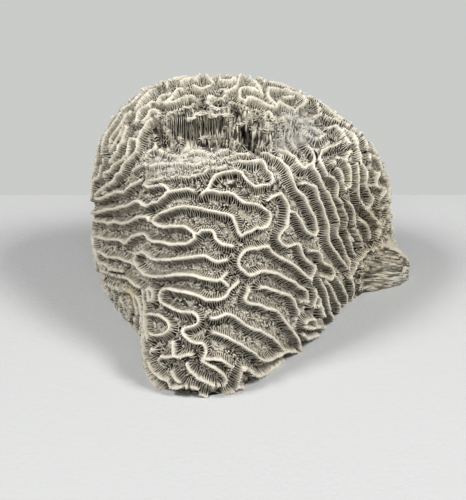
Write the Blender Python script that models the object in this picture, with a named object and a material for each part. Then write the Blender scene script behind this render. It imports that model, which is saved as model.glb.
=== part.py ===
"""Brain coral skeleton: one grown piece, cut flat where it rests.

All sizes below are millimetres; the finished mesh is scaled to metres.  The
front points along -Y, the crown along +Z, and the cut face lies on z = 0.
"""
import math

import bmesh
import bpy
import numpy as np
from mathutils import kdtree

NAME = "brain_coral"
MM = 0.001

# Overall form.  The mass is two merged blocks of rounded faces, a toe and a wing.
HEART = (-2.0, 10.0, 42.0)      # middle of the mass, from which faces are measured
CORE = (-7.0, -3.0, 26.0)       # the whole surface is in sight of this point
FACE_ROUND = 9.0                # how softly neighbouring faces run together
BLOCK_MERGE = 5.0               # how softly the blocks and lobes merge
HOLLOW_ROUND = 1.5              # edge softness of the hollows
BOTTOM_DEPTH = 52.0             # the mass is carried below the cut, then cut off

# Faces of the main mass: azimuth from +X, elevation, distance from HEART.
MAIN_FACES = {
    "left": (180, 3, 92),
    "left_low": (188, -20, 91),
    "upper_left": (180, 48, 88),
    "front_left": (213, 2, 61),
    "front_left_up": (225, 38, 70),
    "front_slope": (262, 45, 64),
    "front_low": (258, 3, 90),
    "front_middle": (290, 22, 64),
    "front_right": (306, -4, 63),
    "front_right_up": (312, 33, 57),
    "bow_right": (342, 2, 49),
    "crown_front": (265, 65, 71.5),
    "upper_right": (0, 45, 60.5),
    "top": (0, 90, 84),
    "back": (90, 0, 68),
    "back_top": (90, 50, 78),
    "back_left": (135, 5, 80),
    "back_right": (45, 5, 80),
    "bottom": (0, -90, BOTTOM_DEPTH),
}

# Faces of the right shoulder, which merges into the main mass.
SHOULDER_FACES = {
    "side": (2, 12, 97),
    "slope": (5, 40, 85),
    "front": (317, -5, 40),
    "top": (340, 70, 55),
    "back": (90, 0, 62),
    "back_right": (45, 8, 87),
    "left": (180, 0, 0),
    "bottom": (0, -90, BOTTOM_DEPTH),
}

# Rounded lobes and hollows: centre, half sizes, turn about z, tilt, squareness.
TOE = ((-21, -46, 8), (27, 25, 26), 12, 0, 2.2)
WING = ((71, 37, 4), (15, 11, 11), 20, 0, 2.6)
SHELF = ((-24, -13, 105), (40, 17, 16), 0, 2, 3.4)
CREVICE = ((27, 2, 98), (9, 22, 12), -38, 0, 2.4)

# Ridges.
RIDGE_HEIGHT = 4.4              # crest above valley floor
FLANK = 2.2                     # from the middle of a flank to the crest or the floor
CREST_HALF_WIDTH = 1.1
VALLEY_NEAR = 2.3               # a valley floor lies between these distances
VALLEY_FAR = 5.0                # from a traced crest
FINE_SPREAD = 1.15              # spreads that set a crest spacing of about 7.5
BROAD_SPREAD = 2.3
GROWTH_STEPS = 46
GROWTH_GAIN = 6.0

# Where the ridges are worn low: middle, reach each way, share of the height worn away.
WORN = {
    "shelf": ((-26, -11, 84), (27, 13, 9), 0.88),
    "saddle": ((20, 13, 93), (22, 16, 7), 0.6),
    "lower_left": ((-63, -4, 14), (24, 24, 24), 0.5),
    "wing_tip": ((80, 28, 5), (6, 7, 5), 0.8),
}
CURTAIN = ((-20, 2.5, 97), (20, 6, 5.5))    # no ridge grows here, under the crown's lip

# Pits eaten into the stone: middle, radius, depth.
PITS = {
    "upper": ((-19, -62, 27), 4.0, 4.5),
    "lower": ((-29, -66, 15), 3.5, 4.0),
    "hollow": ((0, 0, 91), 5.0, 4.5),
}

# The viewpoint that the crest routes below were traced from.
EYE = (-7.0, -475.0, 278.0)
PITCH = math.radians(27.0)
FOCAL = 1116.0                  # pixels
PICTURE_CENTRE = (233.0, 250.0)

FINENESS = 8                    # subdivisions of the starting sphere
SETTLE_STEPS = 8                # rounds of evening out the spacing of its points
TRIANGLES = 12900               # of the whole body; the cut takes off about a quarter
CUT_CLEAR = 0.4                 # points this near to the cut are lowered clear of it
CORAL_COLOUR = (0.72, 0.66, 0.57, 1.0)

# Crest lines traced by eye, as pixels of the picture.
CRESTS = {
    "shelf_lip": [
        (239, 158), (245, 159), (251, 160), (257, 159), (262, 159), (266, 164), (268, 169), (272, 172),
        (274, 177), (274, 181), (270, 184), (263, 184), (255, 186), (250, 182), (246, 179), (243, 175),
        (241, 171), (236, 169), (230, 170), (222, 171), (215, 174), (211, 179), (209, 184), (207, 188),
        (203, 191), (201, 194),
    ],
    "upper_meander": [
        (203, 191), (207, 190), (213, 190), (220, 192), (228, 192), (234, 194), (238, 198), (243, 202),
        (250, 203), (257, 204), (264, 208), (270, 212), (272, 217), (271, 222), (268, 227), (263, 229),
        (257, 228), (251, 232), (246, 233), (241, 236), (238, 232), (236, 226), (234, 221), (232, 216),
        (228, 214), (222, 213), (215, 211), (208, 210), (201, 208), (194, 207), (187, 206), (180, 206),
        (172, 208), (165, 211), (158, 214), (154, 217), (151, 221), (153, 224), (157, 226), (163, 227),
        (170, 226), (177, 226), (183, 226), (188, 229), (192, 232), (194, 236), (194, 238), (190, 241),
        (185, 244), (178, 244), (170, 245), (163, 243), (157, 242), (152, 242), (148, 240), (145, 236),
        (142, 234), (137, 235), (131, 236), (127, 240), (124, 243), (122, 244), (120, 242), (116, 240),
        (110, 240), (103, 240), (98, 238), (93, 237),
    ],
    "upper_spur": [
        (193, 234), (198, 233), (201, 230), (207, 230), (211, 230), (214, 233), (215, 238), (218, 241),
        (222, 244), (228, 245), (232, 246),
    ],
    "second_meander": [
        (226, 260), (218, 262), (212, 260), (209, 258), (205, 256), (198, 256), (191, 257), (184, 258),
        (175, 259), (168, 260), (161, 260), (155, 260), (150, 259), (147, 257), (144, 254), (140, 252),
        (136, 254), (134, 257), (132, 261), (135, 266), (138, 271), (142, 275), (146, 276), (150, 277),
        (156, 277), (161, 277), (168, 276), (175, 275), (182, 275), (187, 275), (194, 276), (200, 278),
        (205, 279), (210, 280), (217, 281), (221, 279), (224, 276), (226, 274),
    ],
    "second_link": [
        (221, 280), (224, 282), (228, 286),
    ],
    "third_meander": [
        (238, 283), (234, 287), (230, 290), (229, 292), (227, 296), (224, 298), (218, 300), (212, 300),
        (206, 300), (202, 298), (198, 296), (194, 295), (187, 293), (182, 292), (175, 291), (168, 289),
        (163, 289), (160, 291), (158, 295), (158, 297), (159, 301), (162, 304), (167, 306), (173, 309),
        (179, 311), (184, 312), (191, 312), (195, 314), (197, 317), (198, 320), (197, 323), (194, 325),
        (191, 326), (186, 327), (183, 328), (181, 331), (183, 335), (186, 338), (191, 342), (196, 343),
        (200, 343), (204, 345), (206, 349), (206, 354), (204, 358), (202, 361),
    ],
    "left_hook": [
        (140, 291), (141, 295), (141, 300), (142, 306), (142, 312), (144, 315), (147, 314), (152, 314),
        (157, 315), (161, 317), (165, 320), (167, 323), (168, 326), (167, 330), (164, 332), (160, 334),
        (155, 335), (150, 335), (148, 333),
    ],
    "left_hook_leg": [
        (142, 312), (143, 320), (143, 327), (144, 334), (146, 340),
    ],
    "toe_stem": [
        (172, 342), (172, 347), (172, 352), (172, 357),
    ],
    "toe_bar": [
        (158, 360), (160, 357), (165, 358), (172, 357), (179, 358), (185, 356), (191, 355),
    ],
    "middle_hook": [
        (313, 280), (309, 278), (305, 274), (301, 270), (296, 266), (290, 262), (285, 260), (281, 258),
        (277, 255), (273, 252), (270, 247), (267, 247), (262, 248), (258, 249), (253, 249), (248, 250),
        (244, 252), (241, 256), (239, 260), (239, 264), (241, 269), (244, 271), (247, 274), (251, 276),
        (256, 275), (260, 273), (263, 272), (268, 272), (274, 273), (279, 274), (284, 277), (290, 280),
        (296, 283), (300, 287), (304, 289), (308, 292), (309, 296), (309, 299),
    ],
    "middle_run": [
        (250, 290), (248, 295), (246, 299), (247, 302), (251, 304), (258, 305), (263, 306), (268, 309),
        (274, 310), (279, 312), (282, 316), (285, 320), (289, 325), (295, 333), (299, 339), (301, 344),
        (301, 348), (303, 354),
    ],
    "middle_short": [
        (262, 288), (267, 288), (272, 290), (279, 292), (284, 294), (291, 296), (295, 300), (297, 306),
        (300, 311), (300, 315),
    ],
    "lower_loop": [
        (211, 318), (217, 318), (222, 316), (226, 314), (231, 315), (236, 317), (240, 320), (245, 324),
        (250, 327), (256, 330), (262, 331), (268, 335), (274, 338), (279, 343), (282, 347), (286, 352),
        (282, 355), (277, 358), (272, 361), (266, 362), (261, 359), (258, 355), (253, 352), (248, 349),
        (244, 346), (238, 343), (234, 341), (229, 338), (224, 336), (219, 334), (213, 332),
    ],
    "toe_rim": [
        (303, 354), (297, 353), (290, 352), (285, 354), (280, 357),
    ],
    "right_wall_a": [
        (262, 151), (268, 152), (273, 155), (280, 157), (284, 162), (290, 168), (293, 176), (296, 183),
        (300, 192), (305, 196), (308, 203), (312, 211), (316, 217), (318, 226), (319, 231), (317, 236),
    ],
    "right_fork": [
        (291, 211), (297, 213), (301, 219), (304, 225), (306, 230), (311, 234), (317, 236),
    ],
    "centre_loop": [
        (269, 200), (273, 197), (278, 195), (283, 193), (287, 200), (290, 207), (290, 213), (289, 220),
        (288, 227), (284, 232), (281, 236), (280, 240), (284, 245), (289, 247), (295, 245), (300, 244),
        (302, 249), (304, 255), (306, 259), (311, 264), (317, 267), (316, 274), (313, 278), (312, 281),
    ],
    "notch_loop": [
        (281, 149), (290, 151), (295, 155), (299, 161), (303, 166), (306, 168), (309, 164), (314, 162),
        (316, 159), (314, 153), (312, 148), (307, 144),
    ],
    "right_wall_b": [
        (315, 162), (315, 166), (317, 170), (320, 175), (322, 180), (324, 185), (327, 190), (331, 195),
        (333, 201), (336, 208), (337, 213), (339, 218), (340, 224), (339, 230), (339, 236), (342, 241),
        (344, 245), (346, 251), (348, 257), (351, 262), (351, 270),
    ],
    "right_wall_c": [
        (302, 183), (307, 183), (312, 185), (317, 187), (319, 192), (320, 199), (323, 204), (326, 211),
        (327, 216), (329, 222), (330, 228), (329, 234), (330, 240), (332, 245), (336, 251), (339, 254),
        (342, 259), (346, 264), (349, 269),
    ],
    "right_wall_d": [
        (342, 141), (340, 142), (336, 145), (329, 146), (322, 148), (321, 156), (323, 162), (326, 168),
        (329, 175), (335, 178), (339, 184), (340, 190), (338, 197), (341, 201), (344, 205), (345, 210),
        (348, 218), (348, 224), (347, 229), (350, 234), (350, 240), (353, 245), (354, 251), (356, 255),
    ],
    "right_wall_e": [
        (350, 202), (354, 208), (356, 214), (356, 224), (357, 230), (360, 237), (363, 241), (363, 248),
    ],
    "right_wall_f": [
        (362, 221), (367, 224), (370, 228), (372, 235), (372, 239),
    ],
    "right_wall_g": [
        (358, 163), (360, 169), (360, 174), (360, 183), (360, 190), (361, 200), (364, 205), (367, 209),
        (371, 212), (374, 216), (379, 222), (382, 225),
    ],
    "shoulder_brow": [
        (329, 126), (334, 125), (338, 125), (341, 128), (344, 130), (347, 135), (350, 139), (352, 143),
    ],
    "right_wall_h": [
        (344, 128), (349, 130), (354, 133), (358, 137), (359, 142), (360, 148), (362, 155), (363, 162),
        (367, 168), (369, 172), (368, 178), (367, 185), (369, 190), (372, 195), (374, 198), (373, 204),
        (370, 209),
    ],
    "edge_loop_a": [
        (371, 186), (377, 186), (382, 187), (386, 189), (387, 192), (384, 197), (381, 200),
    ],
    "edge_loop_b": [
        (377, 172), (381, 173), (380, 176), (379, 181), (379, 185),
    ],
    "edge_low": [
        (385, 221), (384, 225), (382, 233), (379, 238),
    ],
    "foot_a": [
        (322, 280), (324, 285), (327, 290), (329, 297), (330, 305), (332, 313), (334, 319), (335, 325),
    ],
    "foot_b": [
        (328, 282), (333, 289), (336, 296), (341, 306), (341, 309), (340, 319),
    ],
    "foot_c": [
        (336, 276), (341, 282), (345, 289), (348, 296), (348, 304),
    ],
    "foot_d": [
        (306, 328), (311, 329), (316, 329), (322, 328), (327, 329), (328, 334), (327, 340), (324, 346),
    ],
    "foot_e": [
        (305, 336), (310, 340), (315, 338), (319, 336), (322, 339), (322, 346), (325, 347),
    ],
    "foot_f": [
        (307, 324), (310, 321), (315, 320), (317, 321), (318, 328),
    ],
    "foot_g": [
        (302, 302), (306, 302), (310, 302),
    ],
    "foot_loop": [
        (310, 251), (315, 251), (320, 252), (323, 256), (323, 260), (326, 264), (331, 266), (334, 269),
        (336, 273), (336, 276), (332, 280), (328, 278), (322, 276),
    ],
    "toe_a": [
        (186, 365), (187, 369), (190, 373), (194, 376), (198, 380), (203, 382), (208, 384), (214, 387),
    ],
    "toe_b": [
        (202, 362), (206, 364), (210, 367), (215, 369), (220, 373), (224, 376), (227, 381), (225, 386),
    ],
    "toe_c": [
        (205, 360), (213, 360), (222, 361), (227, 364), (232, 368),
    ],
    "toe_d": [
        (191, 389), (197, 390),
    ],
    "toe_e": [
        (200, 396), (206, 398),
    ],
    "toe_f": [
        (170, 374), (172, 378), (176, 382), (179, 384),
    ],
    "toe_g": [
        (146, 362), (148, 368), (151, 372), (156, 376), (160, 380), (167, 382), (170, 388), (177, 389),
        (181, 388),
    ],
    "left_a": [
        (100, 264), (104, 266), (108, 270), (114, 271), (120, 272),
    ],
    "left_b": [
        (96, 252), (100, 254), (105, 258), (112, 258), (117, 259), (124, 262), (129, 263), (132, 265),
    ],
    "left_c": [
        (101, 272), (107, 275), (113, 277), (120, 278), (125, 279), (129, 282), (134, 286), (138, 288),
    ],
    "left_d": [
        (93, 199), (98, 199), (101, 198), (105, 196), (110, 194), (112, 192), (117, 192), (122, 192),
        (126, 188), (129, 185), (134, 183), (138, 180),
    ],
    "left_e": [
        (89, 212), (93, 213), (98, 212), (105, 210), (112, 209), (119, 207), (125, 206), (129, 204),
        (132, 202), (136, 201), (138, 202), (141, 205), (144, 206), (147, 205), (151, 202), (156, 202),
        (160, 198), (164, 195), (165, 192), (170, 191), (175, 190), (181, 189), (187, 188), (193, 190),
    ],
    "left_f": [
        (142, 184), (146, 187), (150, 186), (156, 185), (160, 184), (164, 186), (167, 189),
    ],
    "shelf_trace": [
        (142, 184), (146, 182), (150, 180), (158, 178), (165, 177), (172, 176), (179, 176), (187, 176),
        (198, 173), (203, 172), (206, 169), (211, 167), (220, 166), (226, 164),
    ],
    "left_g": [
        (91, 221), (94, 222), (101, 222), (107, 224), (112, 222), (120, 224), (125, 223), (129, 221),
        (135, 218), (140, 217), (145, 217), (148, 221),
    ],
    "crown_flank": [
        (141, 121), (144, 118), (147, 114), (149, 109), (155, 109), (158, 112), (158, 114), (154, 116),
        (149, 119), (146, 122), (144, 127), (140, 131), (138, 136), (136, 139), (136, 145), (134, 151),
        (130, 155), (126, 160), (122, 164), (120, 169), (118, 173), (115, 174), (113, 177), (112, 181),
        (108, 184), (104, 185), (101, 188), (98, 191), (93, 195),
    ],
    "crown_flank_low": [
        (136, 139), (128, 138), (127, 142), (127, 148), (126, 154), (122, 158), (117, 161), (112, 164),
        (108, 171), (103, 173), (102, 177),
    ],
    "crown_left_a": [
        (125, 126), (122, 126), (119, 130), (117, 135), (115, 138), (113, 143), (110, 147), (108, 151),
    ],
    "crown_left_b": [
        (125, 127), (123, 131), (121, 136), (120, 141), (117, 145), (116, 151), (113, 154), (110, 159),
        (108, 162),
    ],
    "crown_left_c": [
        (129, 111), (124, 113), (122, 118), (118, 124), (115, 128), (111, 133), (108, 138), (108, 143),
        (107, 147),
    ],
    "crown_left_d": [
        (134, 121), (136, 116), (136, 112), (138, 108), (143, 106), (147, 104), (150, 100), (153, 100),
    ],
    "crown_left_e": [
        (134, 107), (138, 102), (141, 98), (144, 94), (148, 90), (153, 88),
    ],
    "crown_a": [
        (156, 101), (157, 97), (160, 94), (165, 93), (170, 93),
    ],
    "crown_b": [
        (182, 88), (177, 88), (174, 92), (171, 96), (166, 99), (162, 101), (165, 102), (170, 101),
        (175, 100), (180, 98), (184, 96), (189, 95), (193, 96), (196, 100), (194, 103), (191, 106),
        (184, 107), (180, 109), (175, 110), (170, 112), (167, 114), (165, 118), (163, 124), (165, 128),
        (167, 133), (171, 138), (175, 143), (179, 143), (180, 138),
    ],
    "cliff_top": [
        (189, 120), (193, 118), (197, 114), (202, 113), (208, 114), (214, 116), (218, 115), (222, 114),
        (226, 116), (229, 120), (228, 125), (226, 129),
    ],
    "crown_c": [
        (226, 94), (223, 96), (218, 97), (211, 95), (208, 96), (208, 102), (210, 105), (214, 108),
        (218, 109), (224, 108), (228, 105), (231, 102), (234, 102), (238, 103), (244, 106), (248, 108),
        (251, 112), (251, 116), (248, 120), (244, 124), (238, 126), (234, 128), (230, 132),
    ],
    "crown_d": [
        (258, 90), (255, 87), (250, 86), (246, 85), (241, 87), (240, 90), (240, 95), (244, 98), (246, 99),
        (248, 96), (253, 97), (259, 99), (264, 101), (268, 104), (274, 106), (277, 106), (278, 104),
        (281, 100),
    ],
    "crown_e": [
        (277, 102), (273, 99), (270, 95), (269, 91), (270, 86), (275, 87), (281, 88), (288, 88), (294, 91),
        (300, 93), (305, 95), (308, 100), (305, 103), (300, 106), (297, 109), (294, 106), (290, 105),
        (284, 102), (280, 100),
    ],
    "crown_f": [
        (284, 140), (284, 135), (282, 130), (279, 125), (275, 119), (272, 112), (270, 110), (266, 112),
        (265, 116), (266, 121), (270, 124), (274, 128), (274, 131), (270, 132), (263, 130), (258, 130),
        (252, 129),
    ],
    "top_a": [
        (193, 84), (197, 85), (201, 87), (206, 85), (210, 84),
    ],
    "top_b": [
        (225, 90), (229, 88), (234, 86), (237, 84), (239, 79), (240, 74), (244, 73), (249, 73), (251, 76),
    ],
    "top_c": [
        (253, 78), (256, 81), (260, 85), (262, 90), (263, 94),
    ],
    "top_d": [
        (220, 72), (220, 77), (225, 78), (231, 78), (236, 76),
    ],
    "top_e": [
        (180, 80), (184, 77), (196, 75), (201, 71), (206, 74), (210, 78), (213, 80),
    ],
    "shelf_step": [
        (202, 138), (208, 137), (215, 137), (222, 138), (229, 139), (236, 140), (241, 141),
    ],
}

def turned(offset, yaw, tilt):
    """Turn offsets into the frame of a lobe."""
    yaw = math.radians(yaw)
    tilt = math.radians(tilt)
    x = offset[:, 0] * math.cos(yaw) + offset[:, 1] * math.sin(yaw)
    y = offset[:, 1] * math.cos(yaw) - offset[:, 0] * math.sin(yaw)
    z = offset[:, 2]
    across = y * math.cos(tilt) - z * math.sin(tilt)
    up = y * math.sin(tilt) + z * math.cos(tilt)
    return np.stack([x, across, up], axis=-1)


def lobe(points, centre, sizes, yaw, tilt, squareness):
    """Rough signed distance to a rounded lobe, negative inside."""
    sizes = np.array(sizes, float)
    scaled = turned(points - np.array(centre, float), yaw, tilt) / sizes
    reach = (np.abs(scaled) ** squareness).sum(axis=1) ** (1.0 / squareness)
    plain = np.maximum(np.linalg.norm(scaled, axis=1), 1e-9)
    slope = np.maximum(np.linalg.norm(scaled / sizes, axis=1) / plain, 1e-9)
    return (reach - 1.0) / slope


def block(points, faces):
    """Rough signed distance to a block of softly joined faces."""
    offset = points - np.array(HEART)
    total = np.full(len(points), -1e9)
    for azimuth, elevation, distance in faces.values():
        azimuth = math.radians(azimuth)
        elevation = math.radians(elevation)
        level = math.cos(elevation)
        normal = np.array([math.cos(azimuth) * level, math.sin(azimuth) * level, math.sin(elevation)])
        total = np.logaddexp(total, (offset @ normal - distance) / FACE_ROUND)
    return FACE_ROUND * total


def envelope(points):
    """Signed distance to the surface that the ridge crests reach."""
    solids = [block(points, faces) for faces in (MAIN_FACES, SHOULDER_FACES)]
    solids += [lobe(points, *shape) for shape in (TOE, WING)]
    total = np.full(len(points), -1e9)
    for solid in solids:
        total = np.logaddexp(total, -solid / BLOCK_MERGE)
    form = -BLOCK_MERGE * total
    for hollow in (SHELF, CREVICE):
        form = HOLLOW_ROUND * np.logaddexp(form / HOLLOW_ROUND, -lobe(points, *hollow) / HOLLOW_ROUND)
    return form


def reach_along(directions):
    """Distance from CORE to the envelope along each direction."""
    near = np.full(len(directions), 5.0)
    far = np.full(len(directions), 150.0)
    for _ in range(24):
        middle = (near + far) / 2
        inside = envelope(np.array(CORE) + directions * middle[:, None]) < 0
        near = np.where(inside, middle, near)
        far = np.where(inside, far, middle)
    return near


def seen_point(pixels):
    """Points where sight lines through the pixels meet the envelope."""
    forward = np.array([0.0, math.cos(PITCH), -math.sin(PITCH)])
    upward = np.array([0.0, math.sin(PITCH), math.cos(PITCH)])
    across = (pixels[:, 0] - PICTURE_CENTRE[0]) / FOCAL
    above = (PICTURE_CENTRE[1] - pixels[:, 1]) / FOCAL
    sight = forward + above[:, None] * upward
    sight[:, 0] += across
    travelled = np.full(len(pixels), 380.0)
    gap = np.full(len(pixels), 1.0)
    for _ in range(90):
        gap = envelope(np.array(EYE) + sight * travelled[:, None])
        travelled = np.minimum(travelled + gap * 0.7, 720.0)
    met = np.abs(gap) < 0.5
    return (np.array(EYE) + sight * travelled[:, None])[met]


def crest_points():
    """Closely spaced points along every traced crest, on the envelope."""
    pixels = []
    for route in CRESTS.values():
        route = np.array(route, float)
        for start, end in zip(route[:-1], route[1:]):
            steps = max(2, int(np.linalg.norm(end - start)) + 1)
            share = np.linspace(0.0, 1.0, steps, endpoint=False)[:, None]
            pixels.append(start + (end - start) * share)
        pixels.append(route[-1:])
    return seen_point(np.concatenate(pixels))


def distance_to(points, targets):
    """Distance from each point to the nearest target."""
    tree = kdtree.KDTree(len(targets))
    for index, target in enumerate(targets):
        tree.insert(target, index)
    tree.balance()
    return np.array([tree.find(point)[2] for point in points])


class Spread:
    """Evens a value out over the mesh, at the same rate everywhere in millimetres."""

    STEP = 0.24

    def __init__(self, points, edges):
        first, second = edges[:, 0], edges[:, 1]
        length = np.maximum(np.linalg.norm(points[first] - points[second], axis=1), 0.05)
        self.first, self.second = first, second
        self.weight = 1.0 / length ** 2
        self.count = len(points)
        self.total = self.gather(np.ones(self.count))
        degree = np.bincount(first, minlength=self.count) + np.bincount(second, minlength=self.count)
        self.rate = np.clip(self.STEP * 2.0 * self.total / degree, 0.02, 1.0)

    def gather(self, value):
        """Weighted sum of each point's neighbours."""
        forward = np.bincount(self.first, self.weight * value[self.second], self.count)
        backward = np.bincount(self.second, self.weight * value[self.first], self.count)
        return forward + backward

    def even(self, value, spread):
        """The value, evened out over the given distance."""
        for _ in range(max(1, round(spread ** 2 / self.STEP))):
            value = value + self.rate * (self.gather(value) / self.total - value)
        return value


def settle(points, edges):
    """Slide the points over the envelope towards even spacing."""
    first, second = edges[:, 0], edges[:, 1]
    count = len(points)
    for _ in range(SETTLE_STEPS):
        length = np.linalg.norm(points[first] - points[second], axis=1)
        pull = length ** 2
        total = np.bincount(first, pull, count) + np.bincount(second, pull, count)
        middle = np.stack([np.bincount(first, pull * points[second, axis], count)
                           + np.bincount(second, pull * points[first, axis], count)
                           for axis in range(3)], axis=-1) / total[:, None]
        moved = points + 0.9 * (middle - points) - np.array(CORE)
        reach = np.linalg.norm(moved, axis=1)
        directions = moved / reach[:, None]
        for _ in range(2):
            reach = reach - 0.9 * envelope(np.array(CORE) + directions * reach[:, None])
        points = np.array(CORE) + directions * reach[:, None]
    return points


def grow_ridges(points, edges):
    """Ridge field: highest on crests, lowest on valley floors.

    It starts from the traced crests.  Between and behind them the ridges are
    grown, so that crests keep their spacing and run on without a seam.
    """
    away = distance_to(points, crest_points())
    crest = away < CREST_HALF_WIDTH
    bare = np.linalg.norm((points - np.array(CURTAIN[0])) / np.array(CURTAIN[1]), axis=1) < 1.0
    valley = (away > VALLEY_NEAR) & ((away < VALLEY_FAR) | bare)
    field = np.random.default_rng(11).uniform(-0.5, 0.5, len(points))
    field[crest] = 1.0
    field[valley] = -1.0
    spread = Spread(points, edges)
    for _ in range(GROWTH_STEPS):
        fine = spread.even(field, FINE_SPREAD)
        broad = spread.even(fine, math.sqrt(BROAD_SPREAD ** 2 - FINE_SPREAD ** 2))
        field = np.clip(GROWTH_GAIN * (fine - broad), -1.0, 1.0)
        field[crest] = 1.0
        field[valley] = np.minimum(field[valley], -0.6)
    return flank_distance(points, edges, spread.even(field, 1.0), spread)


def flank_distance(points, edges, field, spread):
    """Distance from the middle of the nearest ridge flank, positive on the crest side.

    Its highest and lowest lines are the crests and the valley floors, so the
    thinned mesh keeps its edges along them.
    """
    first, second = edges[:, 0], edges[:, 1]
    crosses = (field[first] > 0) != (field[second] > 0)
    first, second = first[crosses], second[crosses]
    share = (field[first] / (field[first] - field[second]))[:, None]
    middle = points[first] * (1.0 - share) + points[second] * share
    away = np.minimum(distance_to(points, middle), FLANK)
    return spread.even(np.where(field > 0, away, -away), 0.7)


def ridge_depth(points, field):
    """How far each point lies below the envelope."""
    worn = np.zeros(len(points))
    for middle, reach, share in WORN.values():
        gap = np.linalg.norm((points - np.array(middle, float)) / np.array(reach, float), axis=1)
        worn = np.maximum(worn, share * np.clip(1.5 - gap, 0.0, 1.0))
    rise = np.clip((field / FLANK + 1.0) / 2.0, 0.0, 1.0)
    depth = RIDGE_HEIGHT * (1.0 - worn) * (1.0 - rise) + 1.2 * worn
    for middle, radius, hole in PITS.values():
        gap = np.linalg.norm(points - np.array(middle, float), axis=1) / radius
        depth = depth + hole * np.exp(-gap ** 2)
    return depth


def grown_mesh():
    """The closed, ridged body before it is thinned and cut."""
    shape = bmesh.new()
    bmesh.ops.create_icosphere(shape, subdivisions=FINENESS, radius=1.0)
    shape.verts.ensure_lookup_table()
    directions = np.array([vertex.co[:] for vertex in shape.verts])
    directions /= np.linalg.norm(directions, axis=1, keepdims=True)
    edges = np.array([[vertex.index for vertex in edge.verts] for edge in shape.edges])
    reach = reach_along(directions)
    points = settle(np.array(CORE) + directions * reach[:, None], edges)
    directions = points - np.array(CORE)
    reach = np.linalg.norm(directions, axis=1)
    directions /= reach[:, None]
    depth = ridge_depth(points, grow_ridges(points, edges))
    step = 0.4
    slope = np.stack([envelope(points + step * axis) - envelope(points - step * axis)
                      for axis in np.eye(3)], axis=-1)
    slope /= np.maximum(np.linalg.norm(slope, axis=1, keepdims=True), 1e-9)
    facing = np.clip((slope * directions).sum(axis=1), 0.62, 1.0)
    points = np.array(CORE) + directions * (reach - depth / facing)[:, None]
    for vertex, point in zip(shape.verts, points):
        vertex.co = point
    mesh = bpy.data.meshes.new(NAME)
    shape.to_mesh(mesh)
    shape.free()
    return mesh


def thin(coral):
    """Thin the mesh to its triangle budget, keeping crests and valleys."""
    modifier = coral.modifiers.new("thin", "DECIMATE")
    modifier.decimate_type = "COLLAPSE"
    modifier.ratio = TRIANGLES / len(coral.data.polygons)
    evaluated = coral.evaluated_get(bpy.context.evaluated_depsgraph_get())
    thinned = bpy.data.meshes.new_from_object(evaluated)
    coral.modifiers.clear()
    full = coral.data
    coral.data = thinned
    bpy.data.meshes.remove(full)
    coral.data.name = NAME


def drop_crumbs(shape):
    """Remove ridge tips that the cut has parted from the body."""
    unseen = set(shape.verts)
    pieces = []
    while unseen:
        queue = [unseen.pop()]
        piece = list(queue)
        while queue:
            for edge in queue.pop().link_edges:
                for vertex in edge.verts:
                    if vertex in unseen:
                        unseen.remove(vertex)
                        queue.append(vertex)
                        piece.append(vertex)
        pieces.append(piece)
    pieces.sort(key=len)
    crumbs = [vertex for piece in pieces[:-1] for vertex in piece]
    bmesh.ops.delete(shape, geom=crumbs, context="VERTS")


def cut_flat(coral):
    """Cut the body off on z = 0, close it and centre it on the origin."""
    shape = bmesh.new()
    shape.from_mesh(coral.data)
    for vertex in shape.verts:
        if abs(vertex.co.z) < CUT_CLEAR:
            vertex.co.z = -CUT_CLEAR
    everything = shape.verts[:] + shape.edges[:] + shape.faces[:]
    bmesh.ops.bisect_plane(shape, geom=everything, dist=0.0001, plane_co=(0, 0, 0),
                           plane_no=(0, 0, -1), clear_outer=True)
    drop_crumbs(shape)
    rim = [edge for edge in shape.edges if edge.is_boundary]
    bmesh.ops.holes_fill(shape, edges=rim, sides=0)
    bmesh.ops.triangulate(shape, faces=shape.faces[:])
    bmesh.ops.recalc_face_normals(shape, faces=shape.faces[:])
    low = [min(vertex.co[axis] for vertex in shape.verts) for axis in range(2)]
    high = [max(vertex.co[axis] for vertex in shape.verts) for axis in range(2)]
    for vertex in shape.verts:
        vertex.co.x -= (low[0] + high[0]) / 2
        vertex.co.y -= (low[1] + high[1]) / 2
        vertex.co *= MM
    shape.to_mesh(coral.data)
    shape.free()


def coral_material():
    """Pale, rough coral stone."""
    material = bpy.data.materials.new("coral_stone")
    material.use_nodes = True
    shader = material.node_tree.nodes["Principled BSDF"]
    shader.inputs["Base Color"].default_value = CORAL_COLOUR
    shader.inputs["Roughness"].default_value = 0.9
    material.diffuse_color = CORAL_COLOUR
    return material


def main():
    """Build the coral in a collection of its own name."""
    for item in list(bpy.data.objects):
        bpy.data.objects.remove(item, do_unlink=True)
    collection = bpy.data.collections.new(NAME)
    bpy.context.scene.collection.children.link(collection)
    coral = bpy.data.objects.new("coral", grown_mesh())
    collection.objects.link(coral)
    thin(coral)
    cut_flat(coral)
    coral.data.materials.clear()
    coral.data.materials.append(coral_material())


main()
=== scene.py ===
"""Detailed visual model of a brain coral skeleton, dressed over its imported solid.

The skeleton is one grown lump.  Its skin is a sphere drawn out to the lump's
envelope and sunk between meandering ridges; thin plates comb the flanks of the
ridges, and small granules fill the valley floors.  Sizes are millimetres until
a mesh is finished, when they become metres.
"""
import logging
import math
from collections.abc import Callable
from dataclasses import dataclass, field
from enum import Enum

import bmesh
import bpy
import numpy as np
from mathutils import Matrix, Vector, kdtree


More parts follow.
